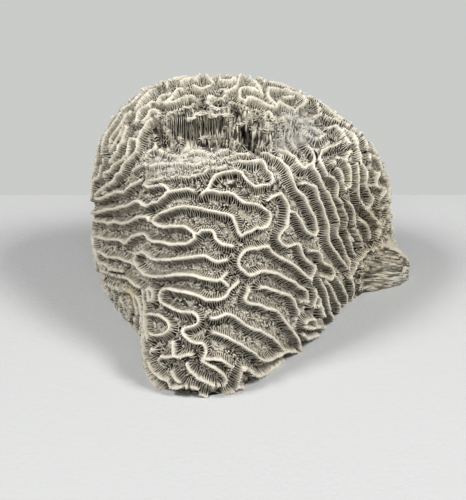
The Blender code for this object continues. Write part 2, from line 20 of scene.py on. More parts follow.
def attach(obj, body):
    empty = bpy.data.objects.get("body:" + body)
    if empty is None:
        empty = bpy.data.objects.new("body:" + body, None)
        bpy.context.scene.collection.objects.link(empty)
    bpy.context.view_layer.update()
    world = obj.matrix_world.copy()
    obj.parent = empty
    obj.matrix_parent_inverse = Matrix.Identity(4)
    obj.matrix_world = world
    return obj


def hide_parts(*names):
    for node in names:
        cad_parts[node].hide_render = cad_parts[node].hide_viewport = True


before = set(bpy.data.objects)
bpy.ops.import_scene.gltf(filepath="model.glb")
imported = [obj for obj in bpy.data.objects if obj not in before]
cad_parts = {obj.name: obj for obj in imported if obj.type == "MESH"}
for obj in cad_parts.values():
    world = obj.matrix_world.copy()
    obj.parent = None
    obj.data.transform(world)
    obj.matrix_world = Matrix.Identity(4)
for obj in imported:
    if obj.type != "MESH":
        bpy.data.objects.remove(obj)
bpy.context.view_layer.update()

LOG = logging.getLogger("brain_coral")
MM = 0.001
PLAN_CENTRE = (3.72, 3.41)      # of the lump as drawn; it stands centred on the origin
LOWEST_COPY = 0.05              # above the table, for every plate and granule
TINY = 1e-9                     # keeps a division from failing
FAR = 1e9
Point = tuple[float, float, float]
Face = tuple[float, float, float]                     # azimuth, elevation, distance
Lobe = tuple[Point, Point, float, float, float]       # middle, reach each way, yaw, tilt, squareness
Colour = tuple[float, float, float, float]

# Crest lines placed one by one, as pixels of the picture.
CRESTS = {
    "shelf_lip": [
        (239, 158), (245, 159), (251, 160), (257, 159), (262, 159), (266, 164), (268, 169), (272, 172),
        (274, 177), (274, 181), (270, 184), (263, 184), (255, 186), (250, 182), (246, 179), (243, 175),
        (241, 171), (236, 169), (230, 170), (222, 171), (215, 174), (211, 179), (209, 184), (207, 188),
        (203, 191), (201, 194),
    ],
    "upper_meander": [
        (203, 191), (207, 190), (213, 190), (220, 192), (228, 192), (234, 194), (238, 198), (243, 202),
        (250, 203), (257, 204), (264, 208), (270, 212), (272, 217), (271, 222), (268, 227), (263, 229),
        (257, 228), (251, 232), (246, 233), (241, 236), (238, 232), (236, 226), (234, 221), (232, 216),
        (228, 214), (222, 213), (215, 211), (208, 210), (201, 208), (194, 207), (187, 206), (180, 206),
        (172, 208), (165, 211), (158, 214), (154, 217), (151, 221), (153, 224), (157, 226), (163, 227),
        (170, 226), (177, 226), (183, 226), (188, 229), (192, 232), (194, 236), (194, 238), (190, 241),
        (185, 244), (178, 244), (170, 245), (163, 243), (157, 242), (152, 242), (148, 240), (145, 236),
        (142, 234), (137, 235), (131, 236), (127, 240), (124, 243), (122, 244), (120, 242), (116, 240),
        (110, 240), (103, 240), (98, 238), (93, 237),
    ],
    "upper_spur": [
        (193, 234), (198, 233), (201, 230), (207, 230), (211, 230), (214, 233), (215, 238), (218, 241),
        (222, 244), (228, 245), (232, 246),
    ],
    "second_meander": [
        (226, 260), (218, 262), (212, 260), (209, 258), (205, 256), (198, 256), (191, 257), (184, 258),
        (175, 259), (168, 260), (161, 260), (155, 260), (150, 259), (147, 257), (144, 254), (140, 252),
        (136, 254), (134, 257), (132, 261), (135, 266), (138, 271), (142, 275), (146, 276), (150, 277),
        (156, 277), (161, 277), (168, 276), (175, 275), (182, 275), (187, 275), (194, 276), (200, 278),
        (205, 279), (210, 280), (217, 281), (221, 279), (224, 276), (226, 274),
    ],
    "second_link": [
        (221, 280), (224, 282), (228, 286),
    ],
    "third_meander": [
        (238, 283), (234, 287), (230, 290), (229, 292), (227, 296), (224, 298), (218, 300), (212, 300),
        (206, 300), (202, 298), (198, 296), (194, 295), (187, 293), (182, 292), (175, 291), (168, 289),
        (163, 289), (160, 291), (158, 295), (158, 297), (159, 301), (162, 304), (167, 306), (173, 309),
        (179, 311), (184, 312), (191, 312), (195, 314), (197, 317), (198, 320), (197, 323), (194, 325),
        (191, 326), (186, 327), (183, 328), (181, 331), (183, 335), (186, 338), (191, 342), (196, 343),
        (200, 343), (204, 345), (206, 349), (206, 354), (204, 358), (202, 361),
    ],
    "left_hook": [
        (140, 291), (141, 295), (141, 300), (142, 306), (142, 312), (144, 315), (147, 314), (152, 314),
        (157, 315), (161, 317), (165, 320), (167, 323), (168, 326), (167, 330), (164, 332), (160, 334),
        (155, 335), (150, 335), (148, 333),
    ],
    "left_hook_leg": [
        (142, 312), (143, 320), (143, 327), (144, 334), (146, 340),
    ],
    "toe_stem": [
        (172, 342), (172, 347), (172, 352), (172, 357),
    ],
    "toe_bar": [
        (158, 360), (160, 357), (165, 358), (172, 357), (179, 358), (185, 356), (191, 355),
    ],
    "middle_hook": [
        (313, 280), (309, 278), (305, 274), (301, 270), (296, 266), (290, 262), (285, 260), (281, 258),
        (277, 255), (273, 252), (270, 247), (267, 247), (262, 248), (258, 249), (253, 249), (248, 250),
        (244, 252), (241, 256), (239, 260), (239, 264), (241, 269), (244, 271), (247, 274), (251, 276),
        (256, 275), (260, 273), (263, 272), (268, 272), (274, 273), (279, 274), (284, 277), (290, 280),
        (296, 283), (300, 287), (304, 289), (308, 292), (309, 296), (309, 299),
    ],
    "middle_run": [
        (250, 290), (248, 295), (246, 299), (247, 302), (251, 304), (258, 305), (263, 306), (268, 309),
        (274, 310), (279, 312), (282, 316), (285, 320), (289, 325), (295, 333), (299, 339), (301, 344),
        (301, 348), (303, 354),
    ],
    "middle_short": [
        (262, 288), (267, 288), (272, 290), (279, 292), (284, 294), (291, 296), (295, 300), (297, 306),
        (300, 311), (300, 315),
    ],
    "lower_loop": [
        (211, 318), (217, 318), (222, 316), (226, 314), (231, 315), (236, 317), (240, 320), (245, 324),
        (250, 327), (256, 330), (262, 331), (268, 335), (274, 338), (279, 343), (282, 347), (286, 352),
        (282, 355), (277, 358), (272, 361), (266, 362), (261, 359), (258, 355), (253, 352), (248, 349),
        (244, 346), (238, 343), (234, 341), (229, 338), (224, 336), (219, 334), (213, 332),
    ],
    "toe_rim": [
        (303, 354), (297, 353), (290, 352), (285, 354), (280, 357),
    ],
    "right_wall_a": [
        (262, 151), (268, 152), (273, 155), (280, 157), (284, 162), (290, 168), (293, 176), (296, 183),
        (300, 192), (305, 196), (308, 203), (312, 211), (316, 217), (318, 226), (319, 231), (317, 236),
    ],
    "right_fork": [
        (291, 211), (297, 213), (301, 219), (304, 225), (306, 230), (311, 234), (317, 236),
    ],
    "centre_loop": [
        (269, 200), (273, 197), (278, 195), (283, 193), (287, 200), (290, 207), (290, 213), (289, 220),
        (288, 227), (284, 232), (281, 236), (280, 240), (284, 245), (289, 247), (295, 245), (300, 244),
        (302, 249), (304, 255), (306, 259), (311, 264), (317, 267), (316, 274), (313, 278), (312, 281),
    ],
    "notch_loop": [
        (281, 149), (290, 151), (295, 155), (299, 161), (303, 166), (306, 168), (309, 164), (314, 162),
        (316, 159), (314, 153), (312, 148), (307, 144),
    ],
    "right_wall_b": [
        (315, 162), (315, 166), (317, 170), (320, 175), (322, 180), (324, 185), (327, 190), (331, 195),
        (333, 201), (336, 208), (337, 213), (339, 218), (340, 224), (339, 230), (339, 236), (342, 241),
        (344, 245), (346, 251), (348, 257), (351, 262), (351, 270),
    ],
    "right_wall_c": [
        (302, 183), (307, 183), (312, 185), (317, 187), (319, 192), (320, 199), (323, 204), (326, 211),
        (327, 216), (329, 222), (330, 228), (329, 234), (330, 240), (332, 245), (336, 251), (339, 254),
        (342, 259), (346, 264), (349, 269),
    ],
    "right_wall_d": [
        (342, 141), (340, 142), (336, 145), (329, 146), (322, 148), (321, 156), (323, 162), (326, 168),
        (329, 175), (335, 178), (339, 184), (340, 190), (338, 197), (341, 201), (344, 205), (345, 210),
        (348, 218), (348, 224), (347, 229), (350, 234), (350, 240), (353, 245), (354, 251), (356, 255),
    ],
    "right_wall_e": [
        (350, 202), (354, 208), (356, 214), (356, 224), (357, 230), (360, 237), (363, 241), (363, 248),
    ],
    "right_wall_f": [
        (362, 221), (367, 224), (370, 228), (372, 235), (372, 239),
    ],
    "right_wall_g": [
        (358, 163), (360, 169), (360, 174), (360, 183), (360, 190), (361, 200), (364, 205), (367, 209),
        (371, 212), (374, 216), (379, 222), (382, 225),
    ],
    "shoulder_brow": [
        (329, 126), (334, 125), (338, 125), (341, 128), (344, 130), (347, 135), (350, 139), (352, 143),
    ],
    "right_wall_h": [
        (344, 128), (349, 130), (354, 133), (358, 137), (359, 142), (360, 148), (362, 155), (363, 162),
        (367, 168), (369, 172), (368, 178), (367, 185), (369, 190), (372, 195), (374, 198), (373, 204),
        (370, 209),
    ],
    "edge_loop_a": [
        (371, 186), (377, 186), (382, 187), (386, 189), (387, 192), (384, 197), (381, 200),
    ],
    "edge_loop_b": [
        (377, 172), (381, 173), (380, 176), (379, 181), (379, 185),
    ],
    "edge_low": [
        (385, 221), (384, 225), (382, 233), (379, 238),
    ],
    "foot_a": [
        (322, 280), (324, 285), (327, 290), (329, 297), (330, 305), (332, 313), (334, 319), (335, 325),
    ],
    "foot_b": [
        (328, 282), (333, 289), (336, 296), (341, 306), (341, 309), (340, 319),
    ],
    "foot_c": [
        (336, 276), (341, 282), (345, 289), (348, 296), (348, 304),
    ],
    "foot_d": [
        (306, 328), (311, 329), (316, 329), (322, 328), (327, 329), (328, 334), (327, 340), (324, 346),
    ],
    "foot_e": [
        (305, 336), (310, 340), (315, 338), (319, 336), (322, 339), (322, 346), (325, 347),
    ],
    "foot_f": [
        (307, 324), (310, 321), (315, 320), (317, 321), (318, 328),
    ],
    "foot_g": [
        (302, 302), (306, 302), (310, 302),
    ],
    "foot_loop": [
        (310, 251), (315, 251), (320, 252), (323, 256), (323, 260), (326, 264), (331, 266), (334, 269),
        (336, 273), (336, 276), (332, 280), (328, 278), (322, 276),
    ],
    "toe_a": [
        (186, 365), (187, 369), (190, 373), (194, 376), (198, 380), (203, 382), (208, 384), (214, 387),
    ],
    "toe_b": [
        (202, 362), (206, 364), (210, 367), (215, 369), (220, 373), (224, 376), (227, 381), (225, 386),
    ],
    "toe_c": [
        (205, 360), (213, 360), (222, 361), (227, 364), (232, 368),
    ],
    "toe_d": [
        (191, 389), (197, 390),
    ],
    "toe_e": [
        (200, 396), (206, 398),
    ],
    "toe_f": [
        (170, 374), (172, 378), (176, 382), (179, 384),
    ],
    "toe_g": [
        (146, 362), (148, 368), (151, 372), (156, 376), (160, 380), (167, 382), (170, 388), (177, 389),
        (181, 388),
    ],
    "left_a": [
        (100, 264), (104, 266), (108, 270), (114, 271), (120, 272),
    ],
    "left_b": [
        (96, 252), (100, 254), (105, 258), (112, 258), (117, 259), (124, 262), (129, 263), (132, 265),
    ],
    "left_c": [
        (101, 272), (107, 275), (113, 277), (120, 278), (125, 279), (129, 282), (134, 286), (138, 288),
    ],
    "left_d": [
        (93, 199), (98, 199), (101, 198), (105, 196), (110, 194), (112, 192), (117, 192), (122, 192),
        (126, 188), (129, 185), (134, 183), (138, 180),
    ],
    "left_e": [
        (89, 212), (93, 213), (98, 212), (105, 210), (112, 209), (119, 207), (125, 206), (129, 204),
        (132, 202), (136, 201), (138, 202), (141, 205), (144, 206), (147, 205), (151, 202), (156, 202),
        (160, 198), (164, 195), (165, 192), (170, 191), (175, 190), (181, 189), (187, 188), (193, 190),
    ],
    "left_f": [
        (142, 184), (146, 187), (150, 186), (156, 185), (160, 184), (164, 186), (167, 189),
    ],
    "shelf_trace": [
        (142, 184), (146, 182), (150, 180), (158, 178), (165, 177), (172, 176), (179, 176), (187, 176),
        (198, 173), (203, 172), (206, 169), (211, 167), (220, 166), (226, 164),
    ],
    "left_g": [
        (91, 221), (94, 222), (101, 222), (107, 224), (112, 222), (120, 224), (125, 223), (129, 221),
        (135, 218), (140, 217), (145, 217), (148, 221),
    ],
    "crown_flank": [
        (141, 121), (144, 118), (147, 114), (149, 109), (155, 109), (158, 112), (158, 114), (154, 116),
        (149, 119), (146, 122), (144, 127), (140, 131), (138, 136), (136, 139), (136, 145), (134, 151),
        (130, 155), (126, 160), (122, 164), (120, 169), (118, 173), (115, 174), (113, 177), (112, 181),
        (108, 184), (104, 185), (101, 188), (98, 191), (93, 195),
    ],
    "crown_flank_low": [
        (136, 139), (128, 138), (127, 142), (127, 148), (126, 154), (122, 158), (117, 161), (112, 164),
        (108, 171), (103, 173), (102, 177),
    ],
    "crown_left_a": [
        (125, 126), (122, 126), (119, 130), (117, 135), (115, 138), (113, 143), (110, 147), (108, 151),
    ],
    "crown_left_b": [
        (125, 127), (123, 131), (121, 136), (120, 141), (117, 145), (116, 151), (113, 154), (110, 159),
        (108, 162),
    ],
    "crown_left_c": [
        (129, 111), (124, 113), (122, 118), (118, 124), (115, 128), (111, 133), (108, 138), (108, 143),
        (107, 147),
    ],
    "crown_left_d": [
        (134, 121), (136, 116), (136, 112), (138, 108), (143, 106), (147, 104), (150, 100), (153, 100),
    ],
    "crown_left_e": [
        (134, 107), (138, 102), (141, 98), (144, 94), (148, 90), (153, 88),
    ],
    "crown_a": [
        (156, 101), (157, 97), (160, 94), (165, 93), (170, 93),
    ],
    "crown_b": [
        (182, 88), (177, 88), (174, 92), (171, 96), (166, 99), (162, 101), (165, 102), (170, 101),
        (175, 100), (180, 98), (184, 96), (189, 95), (193, 96), (196, 100), (194, 103), (191, 106),
        (184, 107), (180, 109), (175, 110), (170, 112), (167, 114), (165, 118), (163, 124), (165, 128),
        (167, 133), (171, 138), (175, 143), (179, 143), (180, 138),
    ],
    "cliff_top": [
        (189, 120), (193, 118), (197, 114), (202, 113), (208, 114), (214, 116), (218, 115), (222, 114),
        (226, 116), (229, 120), (228, 125), (226, 129),
    ],
    "crown_c": [
        (226, 94), (223, 96), (218, 97), (211, 95), (208, 96), (208, 102), (210, 105), (214, 108),
        (218, 109), (224, 108), (228, 105), (231, 102), (234, 102), (238, 103), (244, 106), (248, 108),
        (251, 112), (251, 116), (248, 120), (244, 124), (238, 126), (234, 128), (230, 132),
    ],
    "crown_d": [
        (258, 90), (255, 87), (250, 86), (246, 85), (241, 87), (240, 90), (240, 95), (244, 98), (246, 99),
        (248, 96), (253, 97), (259, 99), (264, 101), (268, 104), (274, 106), (277, 106), (278, 104),
        (281, 100),
    ],
    "crown_e": [
        (277, 102), (273, 99), (270, 95), (269, 91), (270, 86), (275, 87), (281, 88), (288, 88), (294, 91),
        (300, 93), (305, 95), (308, 100), (305, 103), (300, 106), (297, 109), (294, 106), (290, 105),
        (284, 102), (280, 100),
    ],
    "crown_f": [
        (284, 140), (284, 135), (282, 130), (279, 125), (275, 119), (272, 112), (270, 110), (266, 112),
        (265, 116), (266, 121), (270, 124), (274, 128), (274, 131), (270, 132), (263, 130), (258, 130),
        (252, 129),
    ],
    "top_a": [
        (193, 84), (197, 85), (201, 87), (206, 85), (210, 84),
    ],
    "top_b": [
        (225, 90), (229, 88), (234, 86), (237, 84), (239, 79), (240, 74), (244, 73), (249, 73), (251, 76),
    ],
    "top_c": [
        (253, 78), (256, 81), (260, 85), (262, 90), (263, 94),
    ],
    "top_d": [
        (220, 72), (220, 77), (225, 78), (231, 78), (236, 76),
    ],
    "top_e": [
        (180, 80), (184, 77), (196, 75), (201, 71), (206, 74), (210, 78), (213, 80),
    ],
    "shelf_step": [
        (202, 138), (208, 137), (215, 137), (222, 138), (229, 139), (236, 140), (241, 141),
    ],
}


def unit(vectors: np.ndarray) -> np.ndarray:
    """Return the vectors at length one."""
    return vectors / np.maximum(np.linalg.norm(vectors, axis=1, keepdims=True), TINY)


def nearest(points: np.ndarray, targets: np.ndarray) -> tuple[np.ndarray, np.ndarray]:
    """Find each point's nearest target.

    Args:
        points: Places to look from.
        targets: Places to look for.

    Returns:
        The index of the nearest target of each point, and its distance.
    """
    tree = kdtree.KDTree(len(targets))
    for index, target in enumerate(targets):
        tree.insert(target, index)
    tree.balance()
    found = [tree.find(point)[1:] for point in points]
    return np.array([item[0] for item in found]), np.array([item[1] for item in found])


def ramp(value: np.ndarray, start: float, end: float) -> np.ndarray:
    """Return the value carried straight from 0 at start to 1 at end, and level beyond."""
    return np.clip((value - start) / (end - start), 0.0, 1.0)


def halved(holds: Callable[[np.ndarray], np.ndarray], near: np.ndarray, far: np.ndarray,
           rounds: int) -> np.ndarray:
    """Find how far a test keeps holding, by halving each stretch again and again.

    Args:
        holds: Tells of each distance whether it's still on the near side.
        near: Distances on the near side.
        far: Distances on the far side.
        rounds: How often each stretch is halved.

    Returns:
        The last distances on the near side.
    """
    for _ in range(rounds):
        middle = (near + far) / 2
        inside = holds(middle)
        near, far = np.where(inside, middle, near), np.where(inside, far, middle)
    return near


def crossings(value: np.ndarray, points: np.ndarray, edges: np.ndarray) -> tuple[np.ndarray, np.ndarray]:
    """Find where a value passes through zero along the edges of a mesh.

    Args:
        value: The value at each point.
        points: The points.
        edges: Pairs of indices of neighbours.

    Returns:
        Whether the value crosses zero on each edge, and the place where it does.
    """
    first, second = edges[:, 0], edges[:, 1]
    crosses = (value[first] > 0) != (value[second] > 0)
    gap = np.where(crosses, value[first] - value[second], 1.0)
    share = np.where(crosses, value[first] / gap, 0.0)[:, None]
    return crosses, points[first] * (1.0 - share) + points[second] * share


@dataclass(frozen=True)
class Envelope:
    """The surface that the ridge crests reach: two merged blocks, a toe and a wing."""

    heart: Point = (-2.0, 10.0, 42.0)
    core: Point = (-7.0, -3.0, 26.0)
    face_round: float = 9.0
    block_merge: float = 5.0
    hollow_round: float = 1.5
    main: tuple[Face, ...] = (
        (180, 3, 92), (188, -20, 91), (180, 48, 88), (213, 2, 61), (225, 38, 70), (262, 45, 64),
        (258, 3, 90), (290, 22, 64), (306, -4, 63), (312, 33, 57), (342, 2, 49), (265, 65, 71.5),
        (0, 45, 60.5), (0, 90, 84), (90, 0, 68), (90, 50, 78), (135, 5, 80), (45, 5, 80), (0, -90, 52),
    )
    shoulder: tuple[Face, ...] = (
        (2, 12, 97), (5, 40, 85), (317, -5, 40), (340, 70, 55), (90, 0, 62), (45, 8, 87),
        (180, 0, 0), (0, -90, 52),
    )
    toe: Lobe = ((-21, -46, 8), (27, 25, 26), 12, 0, 2.2)
    wing: Lobe = ((71, 37, 4), (15, 11, 11), 20, 0, 2.6)
    shelf: Lobe = ((-24, -13, 105), (40, 17, 16), 0, 2, 3.4)
    crevice: Lobe = ((27, 2, 98), (9, 22, 12), -38, 0, 2.4)
    probe_step: float = 0.4
    approach: float = 0.9
    least_reach: float = 5.0
    most_reach: float = 150.0
    halvings: int = 24

    @staticmethod
    def lobe(points: np.ndarray, shape: Lobe) -> np.ndarray:
        """Return the rough signed distance to a rounded lobe, negative inside."""
        centre, sizes, yaw, tilt, squareness = shape
        offset = points - np.array(centre, float)
        yaw, tilt = math.radians(yaw), math.radians(tilt)
        x = offset[:, 0] * math.cos(yaw) + offset[:, 1] * math.sin(yaw)
        y = offset[:, 1] * math.cos(yaw) - offset[:, 0] * math.sin(yaw)
        z = offset[:, 2]
        turned = np.stack([x, y * math.cos(tilt) - z * math.sin(tilt),
                           y * math.sin(tilt) + z * math.cos(tilt)], axis=-1)
        scaled = turned / np.array(sizes, float)
        reach = (np.abs(scaled) ** squareness).sum(axis=1) ** (1.0 / squareness)
        plain = np.maximum(np.linalg.norm(scaled, axis=1), TINY)
        slope = np.linalg.norm(scaled / np.array(sizes, float), axis=1) / plain
        return (reach - 1.0) / np.maximum(slope, TINY)

    def block(self, points: np.ndarray, faces: tuple[Face, ...]) -> np.ndarray:
        """Return the rough signed distance to a block of softly joined faces."""
        offset = points - np.array(self.heart)
        total = np.full(len(points), -FAR)
        for azimuth, elevation, distance in faces:
            azimuth, elevation = math.radians(azimuth), math.radians(elevation)
            level = math.cos(elevation)
            normal = np.array([math.cos(azimuth) * level, math.sin(azimuth) * level, math.sin(elevation)])
            total = np.logaddexp(total, (offset @ normal - distance) / self.face_round)
        return self.face_round * total

    def distance(self, points: np.ndarray) -> np.ndarray:
        """Return the rough signed distance to the envelope, negative inside."""
        solids = [self.block(points, self.main), self.block(points, self.shoulder),
                  self.lobe(points, self.toe), self.lobe(points, self.wing)]
        total = np.full(len(points), -FAR)
        for solid in solids:
            total = np.logaddexp(total, -solid / self.block_merge)
        form = -self.block_merge * total
        for hollow in (self.shelf, self.crevice):
            edge = self.hollow_round
            form = edge * np.logaddexp(form / edge, -self.lobe(points, hollow) / edge)
        return form

    def normals(self, points: np.ndarray) -> np.ndarray:
        """Return the envelope's outward direction at each point."""
        steps = self.probe_step * np.eye(3)
        slope = [self.distance(points + step) - self.distance(points - step) for step in steps]
        return unit(np.stack(slope, axis=-1))

    def laid_on(self, points: np.ndarray, normals: np.ndarray) -> np.ndarray:
        """Return the points moved along the normals onto the envelope."""
        for _ in range(2):
            points = points - self.approach * self.distance(points)[:, None] * normals
        return points

    def from_core(self, directions: np.ndarray, reach: np.ndarray) -> np.ndarray:
        """Return the points that lie so far from the core in each direction."""
        return np.array(self.core) + directions * reach[:, None]

    def drawn_out(self, directions: np.ndarray) -> np.ndarray:
        """Return the envelope's points along each direction from the core."""
        near = np.full(len(directions), self.least_reach)
        far = np.full(len(directions), self.most_reach)
        reach = halved(lambda middle: self.distance(self.from_core(directions, middle)) < 0,
                       near, far, self.halvings)
        return self.from_core(directions, reach)

    def settled(self, points: np.ndarray, edges: np.ndarray, rounds: int) -> np.ndarray:
        """Slide points over the envelope towards even spacing.

        Args:
            points: Points on the envelope.
            edges: Pairs of indices of neighbours.
            rounds: How often each point moves towards its neighbours.

        Returns:
            The moved points, still on the envelope.
        """
        first, second, count = edges[:, 0], edges[:, 1], len(points)
        for _ in range(rounds):
            pull = np.linalg.norm(points[first] - points[second], axis=1) ** 2
            total = np.bincount(first, pull, count) + np.bincount(second, pull, count)
            middle = np.stack([np.bincount(first, pull * points[second, axis], count)
                               + np.bincount(second, pull * points[first, axis], count)
                               for axis in range(3)], axis=-1) / total[:, None]
            moved = points + self.approach * (middle - points) - np.array(self.core)
            reach = np.linalg.norm(moved, axis=1)
            directions = moved / reach[:, None]
            for _ in range(2):
                reach = reach - self.approach * self.distance(self.from_core(directions, reach))
            points = self.from_core(directions, reach)
        return points


@dataclass(frozen=True)
class Viewpoint:
    """Where the crests were seen from, and where the camera stands."""

    eye: Point = (-7.0, -475.0, 278.0)
    pitch: float = 27.0
    focal_pixels: float = 1116.0
    picture_centre: tuple[float, float] = (233.0, 250.0)
    picture_height: float = 500.0
    march_start: float = 380.0
    march_end: float = 720.0
    march_steps: int = 90
    march_share: float = 0.7
    largest_miss: float = 0.5

    def seen_on(self, envelope: Envelope, pixels: np.ndarray) -> np.ndarray:
        """Return the envelope's points that the pixels show, leaving out those that miss it."""
        pitch = math.radians(self.pitch)
        forward = np.array([0.0, math.cos(pitch), -math.sin(pitch)])
        upward = np.array([0.0, math.sin(pitch), math.cos(pitch)])
        above = (self.picture_centre[1] - pixels[:, 1]) / self.focal_pixels
        sight = forward + above[:, None] * upward
        sight[:, 0] += (pixels[:, 0] - self.picture_centre[0]) / self.focal_pixels
        travelled = np.full(len(pixels), self.march_start)
        gap = np.ones(len(pixels))
        for _ in range(self.march_steps):
            gap = envelope.distance(np.array(self.eye) + sight * travelled[:, None])
            travelled = np.minimum(travelled + gap * self.march_share, self.march_end)
        return (np.array(self.eye) + sight * travelled[:, None])[np.abs(gap) < self.largest_miss]


class Spread:
    """Evens a value out over a mesh, at the same rate everywhere in millimetres."""

    STEP = 0.24
    SHORTEST_EDGE = 0.05
    SLOWEST, FASTEST = 0.02, 1.0

    def __init__(self, points: np.ndarray, edges: np.ndarray) -> None:
        """Weigh each edge by its length."""
        self.first, self.second, self.count = edges[:, 0], edges[:, 1], len(points)
        length = np.linalg.norm(points[self.first] - points[self.second], axis=1)
        self.weight = 1.0 / np.maximum(length, self.SHORTEST_EDGE) ** 2
        self.total = self.gathered(np.ones(self.count))
        degree = np.bincount(edges.ravel(), minlength=self.count)
        self.rate = np.clip(self.STEP * 2.0 * self.total / degree, self.SLOWEST, self.FASTEST)

    def gathered(self, value: np.ndarray) -> np.ndarray:
        """Return the weighted sum of each point's neighbours."""
        forward = np.bincount(self.first, self.weight * value[self.second], self.count)
        return forward + np.bincount(self.second, self.weight * value[self.first], self.count)

    def evened(self, value: np.ndarray, spread: float) -> np.ndarray:
        """Return the value evened out over the given distance."""
        for _ in range(max(1, round(spread ** 2 / self.STEP))):
            value = value + self.rate * (self.gathered(value) / self.total - value)
        return value


@dataclass(frozen=True)
class Patch:
    """A rounded patch of the surface: its middle, its reach each way and its strength."""

    FADE_START, FADE_END = 0.5, 1.5

    middle: Point
    reach: Point
    strength: float

    def share(self, points: np.ndarray) -> np.ndarray:
        """Return the patch's strength at each point, fading out past its reach."""
        gap = np.linalg.norm((points - np.array(self.middle)) / np.array(self.reach), axis=1)
        return self.strength * ramp(gap, self.FADE_END, self.FADE_START)


@dataclass
class RidgeField:
    """The pattern of crests and valleys over the envelope."""

    envelope: Envelope
    view: Viewpoint
    crest_half_width: float = 1.1
    valley_near: float = 2.3
    valley_far: float = 5.0
    fine_spread: float = 1.15
    broad_spread: float = 2.3
    growth_steps: int = 46
    growth_gain: float = 6.0
    flank: float = 2.2
    worn_patches: tuple[Patch, ...] = (
        Patch((-26, -11, 84), (27, 13, 9), 0.88), Patch((22, 12, 94), (24, 17, 8), 0.85),
        Patch((-63, -4, 14), (24, 24, 24), 0.5), Patch((80, 28, 5), (6, 7, 5), 0.95),
        Patch((77, 29, 8), (21, 23, 16), 0.97),
    )
    curtain: Patch = Patch((-20, 2.5, 97), (20, 6, 5.5), 1.0)
    curtain_limit: float = 0.5
    seed: int = 11
    valley_hold: float = -0.6
    value_spread: float = 1.0
    flank_spread: float = 0.7
    summit_dip: float = 0.18
    summit_reach: float = 0.6
    placed_reach: float = 2.0
    least_away: float = 0.5
    above_gain: float = 1.6
    above_spread: float = 0.6

    def crest_points(self) -> np.ndarray:
        """Return closely spaced points along every placed crest, on the envelope."""
        pixels = []
        for route in CRESTS.values():
            line = np.array(route, float)
            for start, end in zip(line[:-1], line[1:]):
                steps = max(2, int(np.linalg.norm(end - start)) + 1)
                pixels.append(start + (end - start) * np.linspace(0.0, 1.0, steps, endpoint=False)[:, None])
            pixels.append(line[-1:])
        return self.view.seen_on(self.envelope, np.concatenate(pixels))

    def grown(self, points: np.ndarray, edges: np.ndarray) -> np.ndarray:
        """Grow the ridges over the points.

        The placed crests are held.  Between and behind them the field is
        repeatedly sharpened at the ridges' own spacing, so they run on.

        Args:
            points: Points on the envelope.
            edges: Pairs of indices of neighbours.

        Returns:
            The distance of each point from the middle of the nearest flank,
            positive on the crest side.
        """
        away = nearest(points, self.crest_points())[1]
        crest = away < self.crest_half_width
        bare = self.curtain.share(points) > self.curtain_limit
        valley = (away > self.valley_near) & ((away < self.valley_far) | bare)
        value = np.random.default_rng(self.seed).uniform(-0.5, 0.5, len(points))
        value[crest], value[valley] = 1.0, -1.0
        spread = Spread(points, edges)
        rest = math.sqrt(self.broad_spread ** 2 - self.fine_spread ** 2)
        for _ in range(self.growth_steps):
            fine = spread.evened(value, self.fine_spread)
            value = np.clip(self.growth_gain * (fine - spread.evened(fine, rest)), -1.0, 1.0)
            value[crest] = 1.0
            value[valley] = np.minimum(value[valley], self.valley_hold)
        value = spread.evened(value, self.value_spread)
        crosses, place = crossings(value, points, edges)
        reach = np.minimum(nearest(points, place[crosses])[1], self.flank)
        return spread.evened(np.where(value > 0, reach, -reach), self.flank_spread)

    def from_crest(self, points: np.ndarray, edges: np.ndarray,
                   flank: np.ndarray) -> tuple[np.ndarray, np.ndarray]:
        """Measure how far each point is from the nearest crest line, and how far above it.

        Args:
            points: Points on the envelope.
            edges: Pairs of indices of neighbours.
            flank: The distance from the middle of the flank at each point.

        Returns:
            The distances, in millimetres, and how directly each point lies above its crest, from 0 to 1.
        """
        placed_crests = self.crest_points()
        highest = flank.copy()
        np.maximum.at(highest, edges[:, 0], flank[edges[:, 1]])
        np.maximum.at(highest, edges[:, 1], flank[edges[:, 0]])
        summit = points[(flank > highest - self.summit_dip) & (flank > self.summit_reach)]
        grown = summit[nearest(summit, placed_crests)[1] > self.placed_reach]
        crests = np.concatenate([placed_crests, grown])
        seat, away = nearest(points, crests)
        above = (points - crests[seat])[:, 2] / np.maximum(away, self.least_away)
        above = np.clip(self.above_gain * above, 0.0, 1.0)
        return away, Spread(points, edges).evened(above, self.above_spread)

    def worn(self, points: np.ndarray) -> np.ndarray:
        """Return the share of the ridge height that is worn away at each point."""
        return np.max([patch.share(points) for patch in self.worn_patches], axis=0)


